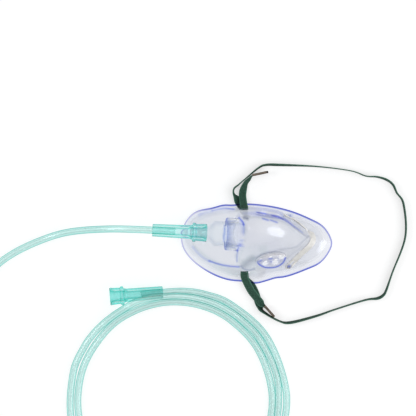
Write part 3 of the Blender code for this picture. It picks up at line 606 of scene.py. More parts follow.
@dataclass(frozen=True)
class SolidClearFinish(Finish):
    """A thick see-through plastic that bends light, tinted more deeply where it is seen edge on."""

    face_on: Colour
    edge_on: Colour
    roughness: float
    shadow: Colour
    bending: float = 1.49
    face_until: float = 0.2
    edge_from: float = 0.9
    wave_scale: float = 90.0
    wave_depth: float = 0.1

    def surface(self, kit: Nodes, effects: Effects) -> Socket:
        """Builds a clear shader that lets the lamps shine through.

        Args:
            kit: Adds nodes to the material.
            effects: The shared shader groups.

        Returns:
            The shader's output.
        """
        flow = effects.flow(kit, self.wave_scale).outputs
        tint = kit.ramp(kit.facing(), [(self.face_until, self.face_on), (self.edge_from, self.edge_on)])
        solid = kit.add(
            "ShaderNodeBsdfPrincipled",
            None,
            Base_Color=tint,
            Roughness=self.roughness,
            IOR=self.bending,
            Transmission_Weight=1.0,
            Normal=kit.bump(flow["Height"], self.wave_depth, MM),
        )
        clear = kit.add("ShaderNodeBsdfTransparent", None, Color=(*self.shadow, 1))
        shadow = kit.add("ShaderNodeLightPath").outputs["Is Shadow Ray"]
        ends = {"_1": solid.outputs[0], "_2": clear.outputs[0]}
        return kit.add("ShaderNodeMixShader", None, Fac=shadow, **ends).outputs[0]


@dataclass(frozen=True)
class ElasticFinish(Finish):
    """A woven elastic band: ribs along it, fine picks across them, lighter threads on its edges."""

    dark: Colour
    light: Colour
    edge: Colour
    pick_pitch: float = 0.7 * MM
    ribs_round: int = 12
    fuzz_scale: float = 1800.0
    thread_share: float = 0.35
    border_fade: float = 16.0
    border_share: float = 0.5
    thread_relief: float = 0.25 * MM

    def surface(self, kit: Nodes, effects: Effects) -> Socket:
        """Builds a cloth shader that reads the band's own UV map.

        Args:
            kit: Adds nodes to the material.
            effects: The shared shader groups, of which it needs none.

        Returns:
            The shader's output.
        """
        run = kit.add("ShaderNodeUVMap", {"uv_map": "run"}).outputs["UV"]
        parts = kit.add("ShaderNodeSeparateXYZ", None, Vector=run).outputs
        picks = kit.math("MULTIPLY", parts["X"], 2 * math.pi / self.pick_pitch)
        ribs = kit.math("MULTIPLY", parts["Y"], 2 * math.pi * self.ribs_round)
        wave = kit.math("SINE", kit.math("ADD", picks, ribs))
        fuzz = kit.noise(kit.place(), self.fuzz_scale, 2.0)
        thread = kit.math("MULTIPLY_ADD", wave, self.thread_share, fuzz)
        across = kit.math("COSINE", kit.math("MULTIPLY", parts["Y"], 2 * math.pi))
        border = kit.math("POWER", kit.math("ABSOLUTE", across), self.border_fade)
        shade = kit.math("MULTIPLY_ADD", border, self.border_share, thread)
        cloth = kit.add(
            "ShaderNodeBsdfPrincipled",
            None,
            Base_Color=kit.ramp(shade, [(0.15, self.dark), (0.6, self.light), (1.0, self.edge)]),
            Roughness=0.85,
            Specular_IOR_Level=0.25,
            Sheen_Weight=0.06,
            Sheen_Roughness=0.4,
            Normal=kit.bump(thread, 0.6, self.thread_relief),
        )
        return cloth.outputs[0]


@dataclass(frozen=True)
class MetalFinish(Finish):
    """A rolled or crimped metal with a fine grain."""

    colour: Colour
    shade: Colour
    roughness: float
    metallic: float
    stretch: Point
    grain_scale: float = 400.0
    grain_relief: float = 0.1 * MM
    polished_by: float = 0.08
    dulled_by: float = 0.1

    def surface(self, kit: Nodes, effects: Effects) -> Socket:
        """Builds a metal shader on object coordinates.

        Args:
            kit: Adds nodes to the material.
            effects: The shared shader groups, of which it needs none.

        Returns:
            The shader's output.
        """
        stretched = kit.add("ShaderNodeMapping", None, Vector=kit.place(), Scale=self.stretch)
        grain = kit.noise(stretched.outputs[0], self.grain_scale, 4.0)
        rough = kit.add(
            "ShaderNodeMapRange",
            None,
            Value=grain,
            To_Min=self.roughness - self.polished_by,
            To_Max=self.roughness + self.dulled_by,
        )
        metal = kit.add(
            "ShaderNodeBsdfPrincipled",
            None,
            Base_Color=kit.ramp(grain, [(0.3, self.shade), (0.7, self.colour)]),
            Roughness=rough.outputs[0],
            Metallic=self.metallic,
            Normal=kit.bump(grain, 0.15, self.grain_relief),
        )
        return metal.outputs[0]


SOFT_CLEAR = ClearFinish(
    name="soft_clear_pvc",
    face_on=(0.894, 0.900, 0.917),
    slanted=(0.874, 0.888, 0.922),
    edge_on=(0.45, 0.50, 0.86),
    body=(0.86, 0.88, 0.93),
    body_shade=(0.80, 0.83, 0.90),
    haze=0.13,
    edge_haze=0.28,
    roughness=0.17,
    metallic=0.6,
    slant_from=0.72,
    edge_from=0.96,
    painted=True,
)
RIGID_CLEAR = SolidClearFinish(
    name="rigid_clear",
    face_on=(0.985, 0.99, 0.99),
    edge_on=(0.84, 0.87, 0.92),
    roughness=0.03,
    shadow=(0.99, 0.992, 0.994),
    bending=1.005,
)
TEAL_VINYL = SolidClearFinish(
    name="teal_vinyl",
    face_on=(0.56, 0.83, 0.815),
    edge_on=(0.06, 0.64, 0.56),
    roughness=0.10,
    shadow=(0.86, 0.97, 0.96),
    bending=1.25,
    face_until=0.06,
    edge_from=0.55,
    wave_depth=0.05,
)
THIN_TEAL_VINYL = replace(TEAL_VINYL, name="thin_teal_vinyl", face_on=(0.77, 0.945, 0.94))
PALE_TEAL = ClearFinish(
    name="pale_teal_vinyl",
    face_on=(0.878, 0.968, 0.958),
    slanted=(0.735, 0.925, 0.905),
    edge_on=(0.22, 0.70, 0.65),
    body=(0.80, 0.95, 0.93),
    body_shade=(0.74, 0.93, 0.90),
    haze=0.10,
    edge_haze=0.28,
    roughness=0.08,
    shadow=(0.975, 0.994, 0.992),
    metallic=0.6,
    slant_from=0.35,
    edge_from=0.78,
    wave_depth=0.02,
)
LUMEN = ClearFinish(
    name="lumen_wall",
    face_on=(0.93, 0.985, 0.978),
    slanted=(0.90, 0.955, 0.95),
    edge_on=(0.50, 0.60, 0.61),
    body=(1.0, 0.97, 0.97),
    body_shade=(0.96, 0.94, 0.95),
    haze=0.08,
    edge_haze=0.25,
    roughness=0.32,
    shadow=(0.99, 0.997, 0.996),
    metallic=0.6,
    wave_depth=0.02,
)
BAND = ElasticFinish(
    name="green_band", dark=(0.006, 0.023, 0.015), light=(0.017, 0.055, 0.036), edge=(0.11, 0.27, 0.19)
)
CLIP_METAL = MetalFinish(
    name="rolled_aluminium",
    colour=(0.83, 0.815, 0.79),
    shade=(0.71, 0.70, 0.675),
    roughness=0.36,
    metallic=0.7,
    stretch=(0.2, 1.0, 1.0),
)
TIP_PLATE = MetalFinish(
    name="tip_plate",
    colour=(0.16, 0.13, 0.10),
    shade=(0.07, 0.055, 0.045),
    roughness=0.42,
    metallic=0.8,
    stretch=(1.0, 1.0, 1.0),
)


# Table, lights and camera


@dataclass(frozen=True)
class Softbox:
    """An oval softbox: where it stands, its width and height, and its power in watts."""

    name: str
    place: Point
    size: Flat
    power: float


@dataclass
class Studio:
    """White table, soft lights and a camera straight above the mask.

    The camera looks down on aim from a height, and shows half_frame to each side of it.
    """

    aim: Flat = (-43.7 * MM, 31.95 * MM)
    height: float = 1.2
    half_frame: float = 187.2 * MM
    sensor: float = 36.0
    table_half: float = 2.2
    table_colour: Colour = (0.50, 0.50, 0.503)
    table_glow: float = 0.60
    sky: float = 0.50
    lit_place: Point = (0.0, 0.0, 0.02)
    softboxes: tuple[Softbox, ...] = (
        Softbox("softbox_right", (0.78, -0.16, 0.72), (0.85, 1.15), 5.2),
        Softbox("softbox_left", (-0.80, 0.10, 0.85), (0.40, 0.50), 2.5),
    )

    def build_camera(self) -> None:
        """Places the camera, a long lens that looks straight down with +Y up in the picture."""
        data = bpy.data.cameras.new("camera")
        data.sensor_width = self.sensor
        data.lens = self.sensor / 2 * self.height / self.half_frame
        data.clip_start, data.clip_end = 0.01, 20
        camera = bpy.data.objects.new("camera", data)
        camera.location = (*self.aim, self.height)
        bpy.context.scene.collection.objects.link(camera)
        bpy.context.scene.camera = camera

    def build_table(self) -> None:
        """Adds the white table top, which keeps the object's shadow."""
        deselect_all()
        bpy.ops.mesh.primitive_plane_add(size=2 * self.table_half, location=(0, 0, 0))
        table = bpy.context.object
        table.name = table.data.name = "table_top"
        material, kit = new_material("white_table")
        shader = kit.add(
            "ShaderNodeBsdfPrincipled",
            None,
            Base_Color=(*self.table_colour, 1),
            Roughness=0.7,
            Specular_IOR_Level=0.0,
            Emission_Color=(1, 1, 1, 1),
            Emission_Strength=self.seen_directly(kit, self.table_glow),
        )
        kit.add("ShaderNodeOutputMaterial", None, Surface=shader.outputs[0])
        table.data.materials.append(material)

    def seen_directly(self, kit: Nodes, amount: float) -> Socket:
        """Keeps an amount of light from the rays that light other things.

        Args:
            kit: Adds nodes to the material or the world.
            amount: What the eye gets directly, in gloss or through glass.

        Returns:
            The amount for those rays, and 0 for the others.
        """
        rays = kit.add("ShaderNodeLightPath").outputs
        either = kit.math("MAXIMUM", rays["Is Camera Ray"], rays["Is Glossy Ray"])
        any_of = kit.math("MAXIMUM", either, rays["Is Transmission Ray"])
        return kit.math("MULTIPLY", any_of, amount)

    def build_sky(self) -> None:
        """Lights the scene evenly from all around, and shows white behind it."""
        world = bpy.data.worlds.new("white_surround")
        bpy.context.scene.world = world
        world.use_nodes = True
        world.node_tree.nodes.clear()
        kit = Nodes(world.node_tree)
        strength = kit.math("ADD", self.seen_directly(kit, 1 - self.sky), self.sky)
        back = kit.add("ShaderNodeBackground", None, Color=(1, 1, 1, 1), Strength=strength)
        kit.add("ShaderNodeOutputWorld", None, Surface=back.outputs[0])

    def add_softbox(self, box: Softbox) -> None:
        """Adds a softbox that faces the mask.

        Args:
            box: What it is like.
        """
        data = bpy.data.lights.new(box.name, "AREA")
        data.shape = "ELLIPSE"
        data.size, data.size_y = box.size
        data.energy = box.power
        item = bpy.data.objects.new(box.name, data)
        item.location = box.place
        way = Vector(self.lit_place) - item.location
        item.rotation_euler = way.to_track_quat("-Z", "Y").to_euler()
        bpy.context.scene.collection.objects.link(item)

    def build(self) -> None:
        """Builds the camera, table and lights."""
        self.build_camera()
        self.build_table()
        self.build_sky()
        for box in self.softboxes:
            self.add_softbox(box)
        bpy.context.scene.view_settings.view_transform = "Standard"


# Tubing


# Frames at the two connectors' mouths, with x along them towards the tubing
MASK_CONNECTOR = axis_frame(Vector((-45.01, 10.12, 30.97)) * MM, Vector((-0.99483, 0.05214, 0.08716)))
SOURCE_CONNECTOR = axis_frame(Vector((-131.3, -47.2, 9.35)) * MM, Vector((47.1, 3.7, -3.05)))


@dataclass
class Tubing:
    """The star-lumen tubing: from the mask's connector over the table and round its coil.

    The route is in millimetres, and the coil's stations are (degrees, radius, height) in degrees
    and millimetres, round its centre.
    """

    radius: float = 3.1 * MM
    sides: int = 18
    lumen_tip: float = 2.1 * MM
    lumen_valley: float = 1.25 * MM
    star_points: int = 5
    seat_depth: float = 20.0 * MM
    connector_length: float = 47.5 * MM
    curve_steps: int = 12
    step: float = 2.6 * MM
    sharp: float = 30.0
    route: tuple[Point, ...] = (
        (-108.6, 13.3, 34.6),
        (-124.2, 13.6, 31.0),
        (-139.4, 13.2, 24.8),
        (-154.2, 12.2, 17.4),
        (-168.3, 10.4, 10.6),
        (-180.9, 7.4, 5.8),
        (-193.5, 3.0, 3.7),
        (-206.2, -2.4, 3.3),
        (-218.1, -8.6, 3.3),
        (-230.4, -17.0, 3.3),
        (-243.0, -29.5, 3.3),
        (-253.5, -46.5, 3.3),
        (-260.0, -68.0, 3.3),
        (-262.0, -93.0, 3.3),
        (-259.5, -118.0, 3.3),
        (-251.5, -143.0, 3.3),
        (-238.0, -166.5, 3.3),
        (-219.0, -188.0, 3.3),
        (-195.0, -206.5, 3.3),
        (-167.0, -221.5, 3.3),
        (-137.0, -232.0, 3.3),
        (-106.0, -237.5, 3.3),
    )
    coil_centre: Point = (-72.1, -140.5, 0.0)
    coil_stations: tuple[Point, ...] = (
        (-95, 100.4, 3.4),
        (-80, 97.6, 3.4),
        (-62, 94.0, 3.5),
        (-45, 92.6, 3.5),
        (-20, 92.5, 3.5),
        (10, 92.5, 3.5),
        (35, 92.5, 3.5),
        (50, 92.6, 4.0),
        (60, 93.0, 6.0),
        (70, 93.4, 7.8),
        (80, 93.6, 9.6),
        (88, 93.9, 11.8),
        (95, 94.2, 14.1),
        (101, 95.0, 15.5),
        (106, 95.5, 15.9),
        (112, 95.7, 15.9),
        (117, 95.2, 15.3),
        (121, 94.8, 12.8),
        (126, 94.7, 9.2),
        (133, 94.9, 5.9),
        (141, 95.3, 4.1),
        (150, 95.5, 3.6),
        (165, 95.8, 3.5),
        (190, 95.8, 3.5),
        (215, 95.4, 3.5),
        (235, 94.0, 3.5),
        (255, 91.0, 3.5),
        (275, 88.0, 3.5),
        (298, 86.4, 3.5),
        (330, 86.1, 3.5),
        (360, 86.1, 3.5),
        (390, 86.2, 3.5),
        (415, 86.8, 3.5),
        (435, 87.7, 3.5),
        (455, 88.3, 3.5),
        (475, 88.4, 3.5),
        (495, 88.5, 3.5),
        (520, 88.5, 3.5),
        (545, 88.6, 3.5),
        (568, 88.6, 3.5),
        (585, 88.8, 4.8),
        (600, 89.4, 8.3),
        (615, 91.4, 9.9),
        (632, 94.2, 9.9),
        (650, 96.4, 9.9),
        (668, 98.0, 9.4),
        (685, 98.7, 6.2),
        (702, 98.8, 3.9),
        (725, 98.8, 3.5),
        (755, 98.8, 3.5),
        (780, 98.7, 3.5),
        (795, 98.4, 3.7),
        (806, 98.1, 4.8),
    )

    def points(self) -> list[Vector]:
        """Lays the route.

        Returns:
            Its points, from inside the mask's connector to inside the far one.
        """
        seats = [Vector((self.connector_length - k * self.seat_depth / 2, 0, 0)) for k in (0, 1, 2)]
        first = [MASK_CONNECTOR @ seat for seat in reversed(seats)]
        lead = [Vector(p) * MM for p in self.route]
        centre = Vector(self.coil_centre) * MM
        coil = []
        for degrees, radius, height in self.coil_stations:
            coil.append(centre + Vector((*on_circle(radius, math.radians(degrees)), height)) * MM)
        return first + lead + coil + [SOURCE_CONNECTOR @ seat for seat in seats]

    def section(self) -> list[list[Flat]]:
        """Draws the section.

        Returns:
            The round outside and the star of the lumen.
        """
        outside = [on_circle(self.radius, 2 * math.pi * k / self.sides) for k in range(self.sides)]
        lumen = []
        for k in range(2 * self.star_points):
            reach = self.lumen_valley if k % 2 else self.lumen_tip
            lumen.append(on_circle(reach, 2 * math.pi * k / (2 * self.star_points)))
        return [outside, lumen]

    def line(self) -> list[Vector]:
        """Divides the route into steps of one length.

        Returns:
            Evenly close points along its middle.
        """
        rough = through(self.points(), self.curve_steps)
        gone = run_lengths(rough)
        count = round(gone[-1] / self.step)
        found = []
        k = 0
        for i in range(count + 1):
            target = gone[-1] * i / count
            while k < len(gone) - 2 and gone[k + 1] < target:
                k += 1
            share = (target - gone[k]) / (gone[k + 1] - gone[k])
            found.append(rough[k].lerp(rough[k + 1], share))
        return found

    def build(self, outside: bpy.types.Material, inside: bpy.types.Material) -> bpy.types.Object:
        """Builds the tubing as one cord.

        Args:
            outside: Material of its outer face and ends.
            inside: Material of the lumen's wall.

        Returns:
            The tubing.
        """
        line = self.line()
        frames = [axis_frame(point, along) for point, along in zip(line, headings(line))]
        loops = self.section()
        tube = swept("oxygen_tubing", frames, loops, run_lengths(line))
        tube.data.materials.append(outside)
        tube.data.materials.append(inside)
        rings = len(line) - 1
        first = rings * len(loops[0])
        for face in tube.data.polygons[first : first + rings * len(loops[1])]:
            face.material_index = 1
        smooth(tube, self.sharp)
        finish_piece(tube, MaterialSlot.PALE_TEAL_TUBE, "supply_tube", "tube_coil")
        LOG.info("tubing: %.3f m along its middle", run_lengths(line)[-1])
        return tube


@dataclass
class Connector:
    """A soft connector: a flared cuff, a flange ring and a sleeve that the tubing sits in."""

    name: str
    node: str
    place: Matrix
    length: float = 47.5 * MM
    cuff_radius: float = 7.85 * MM
    cuff_neck_radius: float = 7.3 * MM
    cuff_length: float = 9.3 * MM
    mouth_bore_radius: float = 6.5 * MM
    ring_radius: float = 8.4 * MM
    ring_width: float = 3.4 * MM
    ring_slope: float = 0.5 * MM
    sleeve_root_radius: float = 6.0 * MM
    sleeve_tip_radius: float = 5.45 * MM
    fillet: float = 0.6 * MM
    fillet_length: float = 2.0 * MM
    nipple_bore_radius: float = 4.6 * MM
    tube_bore_radius: float = 3.4 * MM
    rounding: float = 0.5 * MM
    sides: int = 56
    sharp: float = 40.0

    def profile(self) -> list[Flat]:
        """Draws half of the section.

        Returns:
            Its corners as (along, radius), from the cuff's mouth.
        """
        ring_end = self.cuff_length + self.ring_width
        fillet_end = ring_end + self.fillet_length
        return [
            (0, self.mouth_bore_radius),
            (0, self.cuff_radius),
            (self.cuff_length, self.cuff_neck_radius),
            (self.cuff_length + self.ring_slope, self.ring_radius),
            (ring_end - self.ring_slope, self.ring_radius),
            (ring_end, self.sleeve_root_radius + self.fillet),
            (fillet_end, self.sleeve_root_radius),
            (self.length, self.sleeve_tip_radius),
            (self.length, self.tube_bore_radius),
            (ring_end + 2 * self.fillet_length, self.tube_bore_radius),
            (fillet_end, self.nipple_bore_radius),
            (self.cuff_length * 0.5, self.nipple_bore_radius),
        ]

    def build(self, material: bpy.types.Material) -> bpy.types.Object:
        """Builds the connector.

        Args:
            material: Its material.

        Returns:
            The connector.
        """
        item = spun(self.name, rounded(self.profile(), self.rounding), self.place, self.sides)
        item.data.materials.append(material)
        smooth(item, self.sharp)
        finish_piece(item, MaterialSlot.TEAL_SOFT, self.node)
        return item


# Head strap


@dataclass
class HeadStrap:
    """The woven band, which lies on edge on the table and passes both slots of the flange.

    Its rows are (x, y, z) of its middle in millimetres and the direction of its width.
    """

    width: float = 7.0 * MM
    thickness: float = 0.8 * MM
    ribs: int = 5
    face_share: float = 0.97
    groove_share: float = 0.72
    edge_share: float = 0.55
    table_gap: float = 0.05 * MM
    curve_steps: int = 9
    sharp: float = 50.0
    leaves_slot: Point = (-0.0123, 0.0386, 0.0039)
    rows: tuple[tuple[float, float, float, float, float, float], ...] = (
        (3.6, 62.9, 6.90, 0.26, 0.05, -0.96),
        (-3.5, 61.4, 4.95, 0.27, 0.08, -0.96),
        (-7.0, 57.6, 3.90, 0.44, -0.17, -0.88),
        (-10.4, 53.2, 3.90, 0.64, -0.24, -0.73),
        (-12.7, 44.4, 3.00, 0.98, -0.19, -0.02),
        (-11.6, 34.5, 5.53, 0.99, 0.12, -0.12),
        (-11.2, 32.8, 8.94, 1.00, 0.04, -0.07),
        (-11.2, 31.1, 9.89, 1.00, 0.04, 0.01),
        (-11.5, 30.5, 5.57, 0.98, 0.04, -0.18),
        (-14.3, 34.3, 0.70, 0.86, 0.51, -0.01),
        (-17.4, 39.2, 1.95, 0.88, 0.20, -0.42),
        (-19.4, 42.2, 3.20, 0.52, 0.04, -0.85),
        (-20.9, 45.8, 3.62, 0.20, -0.02, -0.98),
        (-20.2, 49.6, 3.64, 0.12, -0.10, -0.99),
        (-16.6, 52.6, 3.64, 0.02, -0.14, -0.99),
        (-12.4, 56.3, 3.62, 0.05, -0.06, -1.00),
        (1.6, 67.9, 3.60, 0.10, -0.15, -0.98),
        (8.4, 70.6, 3.50, 0.01, -0.24, -0.97),
        (20.2, 70.6, 3.48, 0.00, -0.27, -0.96),
        (53.9, 69.2, 3.62, -0.01, -0.06, -1.00),
        (84.4, 65.3, 3.60, 0.00, 0.00, -1.00),
        (98.1, 60.6, 3.61, -0.01, -0.03, -1.00),
        (108.0, 59.9, 3.62, -0.02, -0.13, -0.99),
        (116.5, 57.3, 3.61, -0.08, -0.17, -0.98),
        (122.3, 52.8, 3.62, -0.11, -0.08, -0.99),
        (125.7, 45.6, 3.62, -0.06, -0.03, -1.00),
        (131.8, 35.2, 3.62, -0.09, -0.03, -1.00),
        (133.3, 5.9, 3.62, -0.05, 0.01, -1.00),
        (121.7, -26.1, 3.60, 0.00, -0.00, -1.00),
        (116.3, -41.6, 3.62, -0.10, 0.06, -0.99),
        (113.4, -46.4, 3.62, -0.12, 0.18, -0.98),
        (108.2, -49.2, 3.60, -0.05, 0.26, -0.96),
        (97.2, -50.7, 3.62, -0.02, 0.09, -1.00),
        (70.0, -59.2, 3.62, 0.00, 0.06, -1.00),
        (54.0, -64.8, 3.60, -0.02, 0.18, -0.98),
        (30.8, -70.8, 3.52, 0.00, 0.28, -0.96),
        (20.0, -69.4, 3.60, 0.03, 0.14, -0.99),
        (5.4, -60.8, 3.40, 0.40, 0.14, -0.90),
        (2.8, -56.4, 2.20, 0.82, 0.16, -0.52),
        (1.0, -51.0, 0.90, 0.97, 0.20, -0.10),
        (-1.0, -44.6, 0.75, 0.95, 0.28, -0.04),
        (-4.6, -37.6, 0.75, 0.85, 0.52, -0.03),
        (-9.6, -32.7, 0.87, 0.81, 0.59, 0.03),
        (-10.4, -29.3, 2.67, 0.98, 0.18, 0.00),
        (-11.2, -24.8, 8.32, 1.00, -0.00, -0.01),
        (-11.3, -27.1, 9.47, 1.00, 0.06, 0.06),
        (-10.6, -31.2, 5.88, 0.98, 0.18, 0.07),
        (-5.5, -41.6, 3.90, 0.78, 0.62, -0.06),
        (-0.9, -47.6, 4.10, 0.78, 0.62, -0.04),
        (3.2, -52.6, 4.70, 0.76, 0.58, -0.22),
        (6.6, -55.8, 4.50, 0.30, 0.22, -0.93),
        (11.6, -60.9, 4.20, 0.00, 0.00, -1.00),
    )

    def section(self) -> list[Flat]:
        """Draws the ribbed section.

        Returns:
            Its corners, from its lower edge up one face and down the other.
        """
        face = []
        rib_steps = 4
        steps = rib_steps * self.ribs
        for k in range(steps + 1):
            z = -self.width / 2 * self.face_share + self.width * self.face_share * k / steps
            swell = abs(math.sin(math.pi * k / rib_steps))
            rib = self.groove_share + (1 - self.groove_share) * swell
            edge = self.edge_share + (1 - self.edge_share) * min(k, steps - k) / 2
            face.append((self.thickness / 2 * rib * min(edge, 1), z))
        return face + [(-y, z) for y, z in reversed(face)]

    def frames(self) -> list[Matrix]:
        """Lays the band, nowhere below the table's top.

        Returns:
            Frames along it, with x along it and z across its width.
        """
        line = through([Vector(row[:3]) * MM for row in self.rows], self.curve_steps)
        widths = through([Vector(row[3:]) for row in self.rows], self.curve_steps)
        found = []
        for point, along, width in zip(line, headings(line), widths):
            matrix = axis_frame(point, along, width)
            half_width, half_wall = matrix.col[2].z * self.width / 2, matrix.col[1].z * self.thickness / 2
            matrix.translation.z = max(point.z, abs(half_width) + abs(half_wall) + self.table_gap)
            found.append(matrix)
        return found

    def line(self) -> list[Vector]:
        """The points along its middle."""
        return [matrix.translation.copy() for matrix in self.frames()]

    def build(self, material: bpy.types.Material) -> bpy.types.Object:
        """Builds the band.

        Args:
            material: Its material, which reads its UV map.

        Returns:
            The band.
        """
        gone = run_lengths(self.line())
        band = swept("elastic_band", self.frames(), [self.section()], gone)
        band.data.materials.append(material)
        smooth(band, self.sharp)
        finish_piece(band, MaterialSlot.GREEN_ELASTIC, "head_strap")
        LOG.info("band: %.3f m along its middle", gone[-1])
        return band


# Mask


def smooth_step(values: np.ndarray, start: float, end: float) -> np.ndarray:
    """0 before start, 1 after end, with an eased way between them."""
    share = np.clip((values - start) / (end - start), 0, 1)
    return share * share * (3 - 2 * share)


@dataclass(frozen=True)
class Stroke:
    """A line or patch of the shell, seen from above, where its wall is thicker, folded or thinner, or where
    shade or a highlight is painted on it.

    The path is in millimetres, colour is what one face of the wall lets through there, reach is
    how far it goes to each side, depth how strong it is, above the height from which it counts,
    and ridge lifts it, along the wall's own normals or along aim.
    """

    path: tuple[Flat, ...]
    colour: Colour
    reach: float = 0.9
    depth: float = 1.0
    above: float = 2.6
    ridge: float = 0.0
    aim: Point | None = None
    curve_steps: int = 10

    def weights(self, places: np.ndarray) -> np.ndarray:
        """How much each place belongs to the stroke.

        Args:
            places: The vertices' places, in metres.

        Returns:
            A weight from 0 to depth for each.
        """
        line = through([Vector((x, y, 0)) * MM for x, y in self.path], self.curve_steps)
        nearest = np.full(len(places), np.inf)
        for a, b in zip(line, line[1:]):
            start, edge = np.array(a[:2]), np.array((b - a)[:2])
            offset = places[:, :2] - start
            share = np.clip(offset @ edge / (edge @ edge), 0, 1)
            nearest = np.minimum(nearest, np.hypot(*(offset - share[:, None] * edge).T))
        weight = np.exp(-((nearest / (self.reach * MM)) ** 2))
        return weight * self.depth * (places[:, 2] > self.above * MM)


# What one face of the wall lets through, over its plain tint
BLUE_EDGE = (0.40, 0.48, 0.94)
PALE_EDGE = (0.70, 0.75, 0.95)
# Painted shade along the folds
PAINTED_FOLD_SHADE = (0.86, 0.87, 0.90)
# A painted highlight: it lets through more than the plain tint, so the wall looks lit
LIT_RIM = (1.1, 1.08, 1.04)
CLEARED = (1.7, 1.66, 1.5)
UNTINTED = (1.0, 1.0, 1.0)

